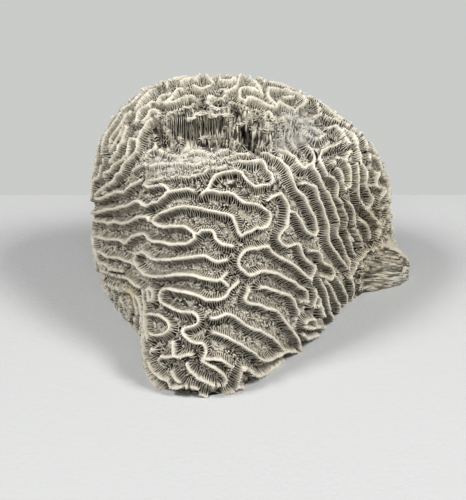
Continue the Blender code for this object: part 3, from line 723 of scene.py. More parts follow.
@dataclass
class Relief:
    """Heights and tone of skin and plates across a ridge, by distance from its crest line; the tone darkens
    down each wall as painted shade.
    """

    floor_depth: float = 4.6
    crest_sink: float = 0.3
    wall_foot: float = 1.3
    wall_top: float = 0.45
    tone_stations: tuple[float, ...] = (0.0, 0.55, 0.8, 1.0, 1.4)
    # The wall's tone falls to near black at its foot: painted shade, which also shows between the plates.
    painted_shade_tones: tuple[float, ...] = (0.80, 0.77, 0.32, 0.05, 0.0)
    floor_band: tuple[float, float] = (2.3, 3.0)
    worn_dulling: float = 0.35
    moat: float = 0.6
    moat_place: float = 1.8
    moat_width: float = 0.5
    column_swell: float = 0.6
    column_band: tuple[float, float] = (-1.2, -2.0)
    worn_sink: float = 1.2
    worn_proud: float = 0.15
    scallop: float = 0.4
    filled_gap: float = 0.85
    plate_stations: tuple[float, ...] = (0.0, 0.5, 0.9, 1.3, 1.8, 2.4, 3.1)
    plate_rises: tuple[float, ...] = (1.03, 1.03, 0.88, 0.58, 0.38, 0.24, 0.06)

    def wall(self, away: np.ndarray) -> np.ndarray:
        """Return the rise of the skin, 0 on the floor and 1 on the crest."""
        share = ramp(away, self.wall_foot, self.wall_top)
        return share * share * (3.0 - 2.0 * share)

    def brightness(self, away: np.ndarray, floor: np.ndarray, worn: np.ndarray) -> np.ndarray:
        """Return the skin's tone: pale crest, a painted shade darkening the foot of the wall, then the
        floor's own.
        """
        wall = np.interp(away, self.tone_stations, self.painted_shade_tones)
        share = np.maximum(ramp(away, *self.floor_band), worn)
        return np.maximum(wall * (1.0 - self.worn_dulling * worn), np.maximum(floor, 0.0) * share)

    def skin_depth(self, away: np.ndarray, flank: np.ndarray, worn: np.ndarray,
                   softness: np.ndarray) -> np.ndarray:
        """Return how far the skin lies below the envelope.

        Args:
            away: Distances from the nearest crest line.
            flank: Distances from the middle of the nearest flank, positive on the crest side.
            worn: Shares of the ridge height that are worn away.
            softness: How far the gaps between the plates are filled, from 0 to 1.

        Returns:
            The depths, in millimetres.
        """
        wall = self.wall(away)
        depth = self.floor_depth * (1.0 - wall) + self.crest_sink * wall
        depth = depth - self.column_swell * ramp(flank, *self.column_band)
        depth = depth + self.moat * np.exp(-((away - self.moat_place) / self.moat_width) ** 2)
        depth = depth * (1.0 - worn) + self.worn_sink * worn
        filled = np.minimum(depth, self.plate_depth(away, worn) + self.filled_gap)
        return depth * (1.0 - softness) + filled * softness

    def plate_depth(self, away: np.ndarray, worn: np.ndarray) -> np.ndarray:
        """Return how far the edge of a plate lies below the envelope."""
        rise = np.interp(away, self.plate_stations, self.plate_rises)
        return self.floor_depth * (1.0 - rise) * (1.0 - worn) + (self.worn_sink - self.worn_proud) * worn


@dataclass(frozen=True)
class Pit:
    """A small hole eaten into the stone."""

    middle: Point
    radius: float
    depth: float

    def sink(self, points: np.ndarray) -> np.ndarray:
        """Return how far the pit lowers each point."""
        gap = np.linalg.norm(points - np.array(self.middle), axis=1) / self.radius
        return self.depth * np.exp(-gap ** 2)


def select_nothing() -> None:
    """Leave edit mode and deselect every object."""
    if bpy.context.object and bpy.context.object.mode == "EDIT":
        bpy.ops.object.mode_set(mode="OBJECT")
    bpy.ops.object.select_all(action="DESELECT")


def make_active(piece: bpy.types.Object) -> None:
    """Select one object alone and make it active."""
    select_nothing()
    piece.select_set(True)
    bpy.context.view_layer.objects.active = piece


def read_all(items: bpy.types.bpy_prop_collection, name: str, kind: type) -> np.ndarray:
    """Return one property of every item of a mesh, as one long row of numbers."""
    each = 1 if name == "edge_index" else len(getattr(items[0], name))
    row = np.empty(len(items) * each, kind)
    items.foreach_get(name, row)
    return row


def read_points(mesh: bpy.types.Mesh) -> np.ndarray:
    """Return the mesh's vertex positions."""
    return read_all(mesh.vertices, "co", float).reshape(-1, 3)


def placed(points: np.ndarray) -> np.ndarray:
    """Return millimetre points of the lump as finished points in metres."""
    return (points - np.array([PLAN_CENTRE[0], PLAN_CENTRE[1], 0.0])) * MM


def write_value(mesh: bpy.types.Mesh, name: str, values: np.ndarray) -> None:
    """Store one number at each vertex under a name that the materials read."""
    layer = mesh.attributes.new(name, "FLOAT", "POINT")
    layer.data.foreach_set("value", values.astype(np.float32))


@dataclass
class Tints:
    """Where the stone is warmer or cooler than the rest."""

    warm: tuple[Patch, ...] = (
        Patch((74, 24, 30), (18, 22, 26), 0.4), Patch((-56, -19, 22), (7, 7, 6), 0.7),
        Patch((48, 0, 45), (30, 30, 45), 0.3), Patch((-60, 0, 40), (25, 30, 40), 0.15),
    )
    cool: tuple[Patch, ...] = (
        Patch((20, 13, 93), (24, 16, 8), 0.7), Patch((-26, -9, 84), (27, 13, 9), 0.4),
        Patch((80, 28, 5), (6, 7, 5), 0.9),
    )

    def warmth(self, points: np.ndarray) -> np.ndarray:
        """Return the tint at each point: above 0 warm, below 0 cool."""
        warm = sum(patch.share(points) for patch in self.warm)
        return np.clip(warm - sum(patch.share(points) for patch in self.cool), -1.0, 1.0)


@dataclass
class Skin:
    """The skin of the skeleton: crests, walls, valley floors and the cut base."""

    envelope: Envelope
    ridges: RidgeField
    relief: Relief
    tints: Tints
    subdivisions: int = 8
    settle_rounds: int = 8
    triangles: int = 196000
    scallop_spreads: tuple[float, ...] = (1.3, 2.6)
    scallop_seed: int = 7
    roughness: float = 0.26
    rough_spreads: tuple[float, ...] = (0.45, 1.4)
    rough_seed: int = 5
    swelling_cap: float = 1.6
    wall_calm: float = 0.7
    curtain_band: tuple[float, float] = (1.0, 2.0)
    curtain_rise: float = 0.45
    curtain_limit: float = 0.3
    soft: tuple[Patch, ...] = (
        Patch((-10, 28, 112), (62, 42, 24), 1.0), Patch((-70, 10, 80), (26, 36, 34), 0.8),
        Patch((84, 34, 62), (22, 40, 44), 0.9),
    )
    soft_tone: float = 0.30
    soft_band: tuple[float, float] = (2.4, 1.6)
    soft_dulling: float = 0.12
    settled_share: float = 0.75
    floor_tone: float = 0.18
    floor_dip_shade: float = 0.30
    worn_gain: float = 0.12
    broken: Patch = Patch((80, 31, 7), (18, 20, 15), 1.0)
    broken_limit: float = 0.25
    broken_gain: float = 1.6
    broken_share: float = 0.9
    broken_tone: float = 0.46
    crumple: float = 0.7
    fold_waves: tuple[tuple[Point, float, float], ...] = (
        ((0.62, 0.0, 0.80), 0.0, 0.3), ((0.0, 0.95, -0.45), 1.0, 0.2),
    )
    pits: tuple[Pit, ...] = (
        Pit((-19, -62, 27), 4.0, 4.5), Pit((-29, -66, 15), 3.5, 4.0), Pit((0, 0, 91), 5.0, 4.5),
    )
    edges: np.ndarray = field(init=False)
    face_edges: np.ndarray = field(init=False)
    points: np.ndarray = field(init=False)
    normals: np.ndarray = field(init=False)
    flank: np.ndarray = field(init=False)
    away: np.ndarray = field(init=False)
    worn: np.ndarray = field(init=False)
    filled: np.ndarray = field(init=False)
    curtain: np.ndarray = field(init=False)
    wave: np.ndarray = field(init=False)

    def softness(self, points: np.ndarray) -> np.ndarray:
        """Return how softly the plates show at each point, from 0 to 1."""
        return np.clip(sum(patch.share(points) for patch in self.soft), 0.0, 1.0)

    def pit_sink(self, points: np.ndarray) -> np.ndarray:
        """Return how far the pits lower each point."""
        return sum(pit.sink(points) for pit in self.pits)

    def whole(self, points: np.ndarray) -> np.ndarray:
        """Tell of each point whether it's off the broken wing, where plates and granules still stand."""
        return self.broken.share(points) < self.broken_limit

    def depth(self, seat: np.ndarray) -> np.ndarray:
        """Return how far the skin lies below the envelope at the given points."""
        plain = self.relief.skin_depth(self.away[seat], self.flank[seat], self.worn[seat], self.filled[seat])
        uneven = self.wave[seat] * (1.0 - self.worn[seat]) * self.relief.wall(self.away[seat])
        plain = plain * (1.0 - self.curtain_rise * np.clip(self.curtain[seat], 0.0, 1.0))
        return plain + uneven + self.pit_sink(self.points[seat])

    def folds(self) -> np.ndarray:
        """Return soft slanting folds, from 0 to 1, for where the stone is broken."""
        waves = [share * np.sin(self.points @ np.array(direction) + start)
                 for direction, start, share in self.fold_waves]
        return 0.5 + sum(waves)

    def unevenness(self, spreads: tuple[float, ...], seed: int) -> np.ndarray:
        """Return seeded random swellings, of about one at most, at the given spreads."""
        spread = Spread(self.points, self.edges)
        noise = np.random.default_rng(seed).normal(size=len(self.points))
        layers = [spread.evened(noise, reach) for reach in spreads]
        total = sum(layer / layer.std() for layer in layers) / len(layers)
        return np.clip(total / self.swelling_cap, -1.0, 1.0)

    def measure(self, mesh: bpy.types.Mesh) -> None:
        """Lay the sphere's points on the envelope and measure the ridges at each of them."""
        self.edges = read_all(mesh.edges, "vertices", np.int32).reshape(-1, 2)
        self.face_edges = read_all(mesh.loops, "edge_index", np.int32).reshape(-1, 3)
        drawn = self.envelope.drawn_out(unit(read_points(mesh)))
        self.points = self.envelope.settled(drawn, self.edges, self.settle_rounds)
        self.normals = self.envelope.normals(self.points)
        self.flank = self.ridges.grown(self.points, self.edges)
        self.away, above = self.ridges.from_crest(self.points, self.edges, self.flank)
        self.worn = self.ridges.worn(self.points)
        self.filled = np.maximum(self.softness(self.points), self.settled_share * above)
        self.curtain = self.ridges.curtain.share(self.points) * ramp(self.away, *self.curtain_band)
        self.wave = self.relief.scallop * self.unevenness(self.scallop_spreads, self.scallop_seed)

    def brightness(self, uneven: np.ndarray, plain: np.ndarray) -> np.ndarray:
        """Return the skin's tone, from 0 in the hollows, where shade is painted, to 1 on the crests.

        Args:
            uneven: The small swellings of the skin.
            plain: How far the stone is broken off smooth, from 0 to 1.

        Returns:
            The tones.
        """
        # The floor is painted darker where its swellings sink it deeper: painted shade in the dips.
        floor = self.floor_tone - self.floor_dip_shade * uneven + self.worn_gain * self.worn
        value = self.relief.brightness(self.away, floor, self.worn)
        between = self.soft_tone * self.filled * ramp(self.away, *self.soft_band)
        value = np.maximum(value, between) * (1.0 - self.soft_dulling * self.filled)
        value = value + self.broken_share * plain * (self.broken_tone - value)
        return np.clip(value, 0.0, 1.0)

    def build(self, dress: bpy.types.Material) -> bpy.types.Object:
        """Model the skin from a sphere.

        Args:
            dress: The material of the skin.

        Returns:
            The finished skin.
        """
        select_nothing()
        bpy.ops.mesh.primitive_ico_sphere_add(subdivisions=self.subdivisions, radius=1.0)
        skin = bpy.context.object
        skin.name = skin.data.name = "coral_skin"
        mesh = skin.data
        self.measure(mesh)
        plain = np.clip(self.broken_gain * self.broken.share(self.points), 0.0, 1.0)
        uneven = self.unevenness(self.rough_spreads, self.rough_seed) * (1.0 - self.broken_share * plain)
        grain = self.roughness * uneven * (1.0 - self.wall_calm * self.relief.wall(self.away))
        grain = grain + self.crumple * plain * self.folds()
        sunk = self.points - self.normals * (self.depth(np.arange(len(self.points))) + grain)[:, None]
        mesh.vertices.foreach_set("co", placed(sunk).ravel())
        write_value(mesh, "relief", self.brightness(uneven, plain))
        write_value(mesh, "warmth", self.tints.warmth(self.points))
        self.cut_base(skin)
        self.thin(skin)
        make_active(skin)
        bpy.ops.object.shade_smooth()
        mesh.materials.clear()
        mesh.materials.append(dress)
        return skin

    @staticmethod
    def cut_base(skin: bpy.types.Object) -> None:
        """Cut the skin off flat at the table and close it."""
        make_active(skin)
        bpy.ops.object.mode_set(mode="EDIT")
        bpy.ops.mesh.select_all(action="SELECT")
        bpy.ops.mesh.bisect(plane_co=(0, 0, 0), plane_no=(0, 0, 1), use_fill=True, clear_inner=True)
        bpy.ops.object.mode_set(mode="OBJECT")

    def thin(self, skin: bpy.types.Object) -> None:
        """Thin the skin to its number of triangles."""
        make_active(skin)
        bpy.ops.object.mode_set(mode="EDIT")
        bpy.ops.mesh.select_all(action="SELECT")
        bpy.ops.mesh.quads_convert_to_tris()
        bpy.ops.object.mode_set(mode="OBJECT")
        thinning = skin.modifiers.new("thin", "DECIMATE")
        thinning.ratio = min(1.0, self.triangles / len(skin.data.polygons))
        bpy.ops.object.modifier_apply(modifier=thinning.name)


def move_chosen(shape: bpy.types.Object, chosen: Callable[[Vector], bool], shift: Point) -> None:
    """Move those points of a new shape that a test picks, and leave them selected in edit mode.

    Args:
        shape: The shape, active and in object mode.
        chosen: Tells of a point's place whether it moves.
        shift: How far the points move.
    """
    bpy.ops.object.mode_set(mode="EDIT")
    bpy.ops.mesh.select_all(action="DESELECT")
    cage = bmesh.from_edit_mesh(shape.data)
    for vertex in cage.verts:
        vertex.select = chosen(vertex.co)
    cage.select_flush_mode()
    bmesh.update_edit_mesh(shape.data)
    bpy.ops.transform.translate(value=shift)


def taken_out(shape: bpy.types.Object) -> tuple[np.ndarray, np.ndarray]:
    """Return the points and faces of a shape, and take the shape itself out of the scene."""
    points = read_points(shape.data)
    faces = np.array([face.vertices[:] for face in shape.data.polygons])
    bpy.data.objects.remove(shape, do_unlink=True)
    return points, faces


def pattern_strip(segments: int, rows: int, bluntness: float) -> tuple[np.ndarray, np.ndarray]:
    """Model the one plate that is copied: a strip whose inner rows are raised into its free edge.

    Args:
        segments: Quads along the plate.
        rows: Quads across the strip: 2 for a sharp edge, 3 for a blunt one.
        bluntness: How much the raised rows are spread.

    Returns:
        Its points and faces, 2 long, 2 wide and 1 high.
    """
    select_nothing()
    bpy.ops.mesh.primitive_grid_add(x_subdivisions=segments, y_subdivisions=rows, size=2.0)
    plate = bpy.context.object
    move_chosen(plate, lambda place: abs(place.y) < 0.5, (0.0, 0.0, 1.0))
    bpy.ops.transform.resize(value=(1.0, bluntness, 1.0))
    bpy.ops.object.mode_set(mode="OBJECT")
    return taken_out(plate)


@dataclass(frozen=True)
class Climb:
    """A tone that climbs with the height of a plate's edge."""

    base: float
    gain: float
    start: float
    end: float
    power: float = 1.0

    def at(self, rise: np.ndarray) -> np.ndarray:
        """Return the tone at each height, given from 0 on the floor to 1 on the crest."""
        return self.base + self.gain * ramp(rise, self.start, self.end) ** self.power


@dataclass
class Plates:
    """The thin plates that comb both flanks of every ridge."""

    skin: Skin
    pitch: float = 1.12
    half_width: float = 0.21
    bluntness: float = 1.8
    segments: int = 5
    fewest_in_line: int = 3
    direction_step: float = 0.8
    base_sink: float = 0.35
    per_piece: int = 6500
    wear_seed: int = 17
    shape_seed: int = 23
    lowest: float = 0.8
    worn_share: float = 0.5
    sharpest_turn: float = 0.86
    turn_probe: float = 2.5
    slope_probe: float = 0.8
    long_reach: float = 1.5
    short_reach: float = 0.9
    crest_reach: float = 1.9
    reach_spread: float = 0.15
    small_spread: float = 0.12
    short_drop: float = 0.25
    soft_calm: float = 0.6
    soft_sink: float = 0.3
    least_height: float = 0.1
    painted_shade_depth: float = 0.36
    soft_shade_stretch: float = 4.8
    edge_tone: Climb = Climb(0.60, 0.22, 0.6, 1.0, 1.5)
    soft_edge_tone: Climb = Climb(0.43, 0.35, 0.82, 0.96)

    def lines(self) -> list[np.ndarray]:
        """Return the lines along the middle of every flank."""
        skin = self.skin
        crosses, place = crossings(skin.flank, skin.points, skin.edges)
        flags = crosses[skin.face_edges]
        faces = skin.face_edges[flags.sum(axis=1) == 2]
        flags = flags[flags.sum(axis=1) == 2]
        pairs = faces[flags].reshape(-1, 2)
        links: dict[int, list[int]] = {}
        for one, other in pairs.tolist():
            links.setdefault(one, []).append(other)
            links.setdefault(other, []).append(one)
        unseen = set(links)
        found = []
        while unseen:
            start = unseen.pop()
            chain = [start]
            here = start
            while True:
                ahead = [edge for edge in links[here] if edge in unseen]
                if not ahead:
                    break
                here = ahead[0]
                unseen.remove(here)
                chain.append(here)
            if len(chain) > 4:
                chain.append(start)
                found.append(place[np.array(chain)])
        return found

    def seats(self) -> tuple[np.ndarray, np.ndarray]:
        """Return where each plate stands, and the direction of its flank there."""
        places, alongs = [], []
        for line in self.lines():
            steps = np.linalg.norm(np.diff(line, axis=0), axis=1)
            travelled = np.concatenate([[0.0], np.cumsum(steps)])
            count = int(travelled[-1] / self.pitch)
            if count < self.fewest_in_line:
                continue
            at = (np.arange(count) + 0.5) * travelled[-1] / count
            before, here, after = (
                np.stack([np.interp(at + step, travelled, line[:, axis]) for axis in range(3)], axis=-1)
                for step in (-self.direction_step, 0.0, self.direction_step))
            places.append(here)
            alongs.append(unit(after - before))
        place, along = np.concatenate(places), np.concatenate(alongs)
        seat = nearest(place, self.skin.points)[0]
        chance = np.random.default_rng(self.wear_seed)
        spared = chance.random(len(place)) > self.worn_share * self.skin.worn[seat]
        keep = (place[:, 2] > self.lowest) & spared & (self.skin.curtain[seat] < self.skin.curtain_limit)
        across = self.turn_probe * np.cross(self.skin.normals[seat], along)
        one, other = (self.skin.envelope.normals(place + side * across) for side in (-1.0, 1.0))
        keep &= (one * other).sum(axis=1) > self.sharpest_turn
        keep &= self.skin.whole(place)
        return place[keep], along[keep]

    def build(self, dress: bpy.types.Material) -> list[bpy.types.Object]:
        """Copy the plate along every flank.

        Args:
            dress: The material of the plates.

        Returns:
            The finished pieces, each a share of the plates.
        """
        unit_points, quads = pattern_strip(self.segments, 3, self.bluntness)
        place, along = self.seats()
        pieces = []
        chance = np.random.default_rng(self.shape_seed)
        for number, start in enumerate(range(0, len(place), self.per_piece)):
            share = slice(start, start + self.per_piece)
            points, relief, warmth = self.laid_out(unit_points, place[share], along[share], chance)
            pieces.append(copies_as_piece(f"coral_plates_{number + 1}", points, quads, relief, warmth, dress))
        return pieces

    def laid_out(self, unit_points: np.ndarray, place: np.ndarray, along: np.ndarray,
                 chance: np.random.Generator) -> tuple[np.ndarray, np.ndarray, np.ndarray]:
        """Lay copies of the plate across the flank.

        Args:
            unit_points: The pattern plate's points.
            place: Where each copy stands.
            along: The direction of the flank at each copy.
            chance: The source of small irregularities.

        Returns:
            Points, relief and warmth, each by copy and by pattern point.
        """
        skin, relief = self.skin, self.skin.relief
        count = len(place)
        normal = skin.envelope.normals(place)
        across = unit(np.cross(normal, along))
        aside = self.slope_probe * across
        probe = nearest(np.concatenate([place + aside, place - aside]), skin.points)[0]
        rising = skin.flank[probe[:count]] >= skin.flank[probe[count:]]
        across = np.where(rising[:, None], across, -across)
        stations = np.linspace(-1.0, 1.0, self.segments + 1)
        long_plate = np.arange(count) % 2 == 0
        low_end = np.where(long_plate, -self.long_reach, -self.short_reach)
        low_end = low_end + chance.normal(0.0, self.reach_spread, count)
        tops = np.empty((count, len(stations)))
        feet = np.empty((count, len(stations)))
        ground = np.empty((count, len(stations), 3))
        sway = chance.normal(0.0, self.small_spread, count)
        softness = skin.filled[nearest(place, skin.points)[0]]
        for index, station in enumerate(stations):
            away = low_end + (self.crest_reach - low_end) * (station + 1.0) / 2.0
            spot = place + across * away[:, None] + along * (sway * station)[:, None]
            spot = skin.envelope.laid_on(spot, normal)
            seat = nearest(spot, skin.points)[0]
            feet[:, index] = skin.depth(seat) + self.base_sink
            top = relief.plate_depth(skin.away[seat], skin.worn[seat]) + skin.wave[seat] + skin.pit_sink(spot)
            top = top + np.where(long_plate, 0.0, self.short_drop * (1.0 - softness))
            top = top + chance.normal(0.0, self.small_spread, count) * (1.0 - self.soft_calm * softness)
            top = top + self.soft_sink * softness
            lowest_top = feet[:, index] - self.least_height
            tops[:, index] = lowest_top if abs(station) == 1.0 else np.minimum(top, lowest_top)
            ground[:, index] = spot
        column = np.rint((unit_points[:, 0] + 1.0) / 2.0 * self.segments).astype(int)
        width = self.half_width * (1.0 + chance.normal(0.0, self.small_spread, count))
        sideways = unit_points[:, 1][None, :] * width[:, None]
        upper = unit_points[:, 2][None, :]
        depth = feet[:, column] * (1.0 - upper) + tops[:, column] * upper
        points = (ground[:, column] + along[:, None, :] * sideways[:, :, None]
                  - normal[:, None, :] * depth[:, :, None])
        rise = np.clip(1.0 - tops[:, column] / relief.floor_depth, 0.0, 1.0)
        edge = self.edge_tone.at(rise)
        edge = edge + (self.soft_edge_tone.at(rise) - edge) * softness[:, None]
        # Each plate's sides darken below its edge towards near black: painted shade between the plates,
        # spread deeper where the plates show softly.
        painted_shade_depth = (self.painted_shade_depth * (1.0 + self.soft_shade_stretch * softness))[:, None]
        value = edge - (1.0 - upper) * (feet[:, column] - tops[:, column]) / painted_shade_depth
        warmth = np.repeat(skin.tints.warmth(place)[:, None], len(column), axis=1)
        return points, value, warmth


@dataclass
class Curtain:
    """The long upright plates that hang under the crown's lip, down to the shelf."""

    skin: Skin
    left: float = -41.0
    right: float = -8.0
    pitch: float = 0.95
    lip_height: float = 101.6
    lip_swing: float = 0.9
    lip_wave: float = 1.6
    foot_height: float = 90.6
    half_width: float = 0.24
    segments: int = 9
    seed: int = 29
    halvings: int = 22
    nearest_face: float = -11.0
    farthest_face: float = 16.0
    place_spread: float = 0.1
    lip_spread: float = 0.3
    lean: float = 0.35
    slope_share: float = 0.25
    foot_sink: float = 0.4
    least_height: float = 0.5
    most_height: float = 1.5
    fullness: float = 1.6
    height_spread: float = 0.2
    tone: float = 0.62
    tone_spread: float = 0.12
    dull_from: float = -27.0
    dulling: float = 0.16
    painted_foot_shade: float = 0.04

    def on_face(self, across: np.ndarray, height: np.ndarray) -> np.ndarray:
        """Return the envelope's points on the steep face at each place across and height."""
        def at(depth: np.ndarray) -> np.ndarray:
            """Return the points that lie so far back."""
            return np.stack([across, depth, height], axis=-1)

        near, far = np.full(len(across), self.nearest_face), np.full(len(across), self.farthest_face)
        distance = self.skin.envelope.distance
        return at(halved(lambda middle: distance(at(middle)) > 0, near, far, self.halvings))

    def build(self, dress: bpy.types.Material) -> bpy.types.Object:
        """Copy the plate along the steep face.

        Args:
            dress: The material of the plates.

        Returns:
            The finished piece.
        """
        unit_points, quads = pattern_strip(self.segments, 2, 1.0)
        chance = np.random.default_rng(self.seed)
        across = np.arange(self.left, self.right, self.pitch)
        across = across + chance.normal(0.0, self.place_spread, len(across))
        share = (unit_points[:, 0] + 1.0) / 2.0
        count, each = len(across), len(unit_points)
        lip = self.lip_height + self.lip_swing * np.sin(across / self.lip_wave)
        lip = lip + chance.normal(0.0, self.lip_spread, count)
        level = lip[:, None] + (self.foot_height - lip)[:, None] * share[None, :]
        lean = chance.normal(0.0, self.lean, count)[:, None] * share[None, :]
        spot = self.on_face((across[:, None] + lean).ravel(), level.ravel())
        normal = unit(self.skin.envelope.normals(spot) * np.array([1.0, 1.0, self.slope_share]))
        sideways = unit(np.cross(normal, np.array([0.0, 0.0, 1.0])))
        seat = nearest(spot, self.skin.points)[0]
        foot = self.skin.depth(seat) + self.foot_sink
        proud = np.clip(4.0 * share * (1.0 - share) * self.fullness, 0.0, 1.0)
        top = foot - self.least_height - self.most_height * np.tile(proud, count)
        top = top + np.repeat(chance.normal(0.0, self.height_spread, count), each)
        upper = np.tile(unit_points[:, 2], count)
        depth = foot * (1.0 - upper) + top * upper
        width = np.tile(unit_points[:, 1], count) * self.half_width
        points = spot + sideways * width[:, None] - normal * depth[:, None]
        tone = self.tone + self.tone_spread * chance.random(count) - self.dulling * (across > self.dull_from)
        # Each curtain plate fades to near black at its foot: painted shade between the plates under the lip.
        value = np.clip(np.repeat(tone, each) * upper + self.painted_foot_shade, 0.0, 1.0).reshape(count, each)
        warmth = self.skin.tints.warmth(spot).reshape(count, each)
        return copies_as_piece("coral_curtain", points.reshape(count, each, 3), quads, value, warmth, dress)


@dataclass
class Granules:
    """Small leaning points that fill the valley floors."""

    skin: Skin
    share: float = 0.36
    size: float = 0.44
    height: float = 1.1
    lean: float = 0.6
    tip_shift: float = 0.3
    foot_sink: float = 0.15
    lowest: float = 1.0
    nearest_crest: float = 2.4
    worn_floor: float = 0.4
    worn_loss: float = 0.6
    most: int = 36000
    seed: int = 41
    least_size: float = 0.6
    size_spread: float = 0.8
    least_height: float = 0.5
    painted_foot_shade: float = -0.25
    painted_foot_shade_spread: float = 0.8
    tip_tone: float = 0.82
    tip_tone_spread: float = 0.6

    def pattern_granule(self) -> tuple[np.ndarray, np.ndarray]:
        """Model the one granule that is copied, a leaning cone, and return its points and faces."""
        select_nothing()
        bpy.ops.mesh.primitive_cone_add(vertices=5, radius1=1.0, radius2=0.0, depth=1.0,
                                        end_fill_type="NOTHING", location=(0.0, 0.0, 0.5))
        bpy.ops.object.transform_apply(location=True, rotation=False, scale=False)
        granule = bpy.context.object
        move_chosen(granule, lambda place: place.z > 0.5, (self.tip_shift, 0.0, 0.0))
        bpy.ops.object.mode_set(mode="OBJECT")
        return taken_out(granule)

    def build(self, dress: bpy.types.Material) -> bpy.types.Object:
        """Scatter copies of the granule over the valley floors.

        Args:
            dress: The material of the granules.

        Returns:
            The finished piece.
        """
        unit_points, faces = self.pattern_granule()
        skin = self.skin
        chance = np.random.default_rng(self.seed)
        floor = (skin.away > self.nearest_crest) & (skin.curtain < skin.curtain_limit)
        open_floor = (floor | (skin.worn > self.worn_floor)) & skin.whole(skin.points)
        chosen = np.flatnonzero(open_floor & (chance.random(len(skin.points)) < self.share)
                                & (skin.points[:, 2] > self.lowest))
        if len(chosen) > self.most:
            chosen = np.sort(chance.choice(chosen, self.most, replace=False))
        count = len(chosen)
        place, worn = skin.points[chosen], skin.worn[chosen]
        upright = unit(skin.normals[chosen] + self.lean * chance.normal(size=(count, 3)))
        side = unit(np.cross(upright, unit(chance.normal(size=(count, 3)))))
        other = np.cross(upright, side)
        width = self.size * (self.least_size + self.size_spread * chance.random(count))
        height = self.height * (self.least_height + chance.random(count)) * (1.0 - self.worn_loss * worn)
        centre = place - skin.normals[chosen] * (skin.depth(chosen) + self.foot_sink)[:, None]
        x, y, upper = (unit_points[None, :, axis, None] for axis in range(3))
        spread = width[:, None, None] * (x * side[:, None, :] + y * other[:, None, :])
        points = centre[:, None, :] + spread + height[:, None, None] * upper * upright[:, None, :]
        pale = chance.random(count)[:, None]
        # Each granule's foot is painted dark and its tip pale: the dark foot is painted shade among the
        # granules.
        foot = self.painted_foot_shade + self.painted_foot_shade_spread * pale
        tip = self.tip_tone + self.tip_tone_spread * pale - self.worn_loss * worn[:, None]
        relief_value = foot + (tip - foot) * unit_points[None, :, 2]
        warmth = np.repeat(skin.tints.warmth(place)[:, None], len(unit_points), axis=1)
        return copies_as_piece("coral_granules", points, faces, relief_value, warmth, dress)


def copies_as_piece(name: str, points: np.ndarray, faces: np.ndarray, relief: np.ndarray,
                    warmth: np.ndarray, dress: bpy.types.Material) -> bpy.types.Object:
    """Gather copies of one small shape into a piece.

    Args:
        name: The piece's name.
        points: Positions in millimetres, by copy and by point of the shape.
        faces: The shape's faces, as indices of its points.
        relief: The relief value of each point.
        warmth: The warmth value of each point.
        dress: The material of the piece.

    Returns:
        The finished piece.
    """
    count, each = points.shape[:2]
    points[:, :, 2] = np.maximum(points[:, :, 2], LOWEST_COPY)
    every = (faces[None] + np.arange(count)[:, None, None] * each).reshape(-1, faces.shape[1])
    mesh = bpy.data.meshes.new(name)
    mesh.from_pydata(placed(points.reshape(-1, 3)), [], every.tolist())
    write_value(mesh, "relief", relief.ravel())
    write_value(mesh, "warmth", warmth.ravel())
    mesh.materials.append(dress)
    mesh.validate()
    piece = bpy.data.objects.new(name, mesh)
    bpy.context.scene.collection.objects.link(piece)
    return piece


class Socket(Enum):
    """Kinds of socket on the shader groups."""

    NUMBER = "NodeSocketFloat"
    COLOUR = "NodeSocketColor"
    DIRECTION = "NodeSocketVector"


@dataclass(frozen=True)
class CoralFinish:
    """A finish of dry coral stone: its colours from a near-black hollow, which is painted shade, to the
    crest, and its grain.
    """

    name: str
    hollow: Colour
    middle: Colour
    crest: Colour
    roughness: float
    grain_size: float
    grain_height: float
    speckle: float


# Each hollow colour is near black: painted shade for the gaps between the plates and the foot of the walls.
SKIN_FINISH = CoralFinish(
    "coral_skin", hollow=(0.018, 0.015, 0.011, 1), middle=(0.53, 0.49, 0.40, 1), crest=(0.76, 0.725, 0.64, 1),
    roughness=0.92, grain_size=900.0, grain_height=0.35, speckle=0.4)
PLATE_FINISH = CoralFinish(
    "coral_plates", hollow=(0.018, 0.015, 0.011, 1), middle=(0.56, 0.52, 0.425, 1),
    crest=(0.79, 0.76, 0.675, 1), roughness=0.88, grain_size=1400.0, grain_height=0.15, speckle=0.15)
GRANULE_FINISH = CoralFinish(
    "coral_granules", hollow=(0.030, 0.026, 0.019, 1), middle=(0.57, 0.53, 0.435, 1),
    crest=(0.80, 0.765, 0.68, 1), roughness=0.93, grain_size=1200.0, grain_height=0.2, speckle=0.2)


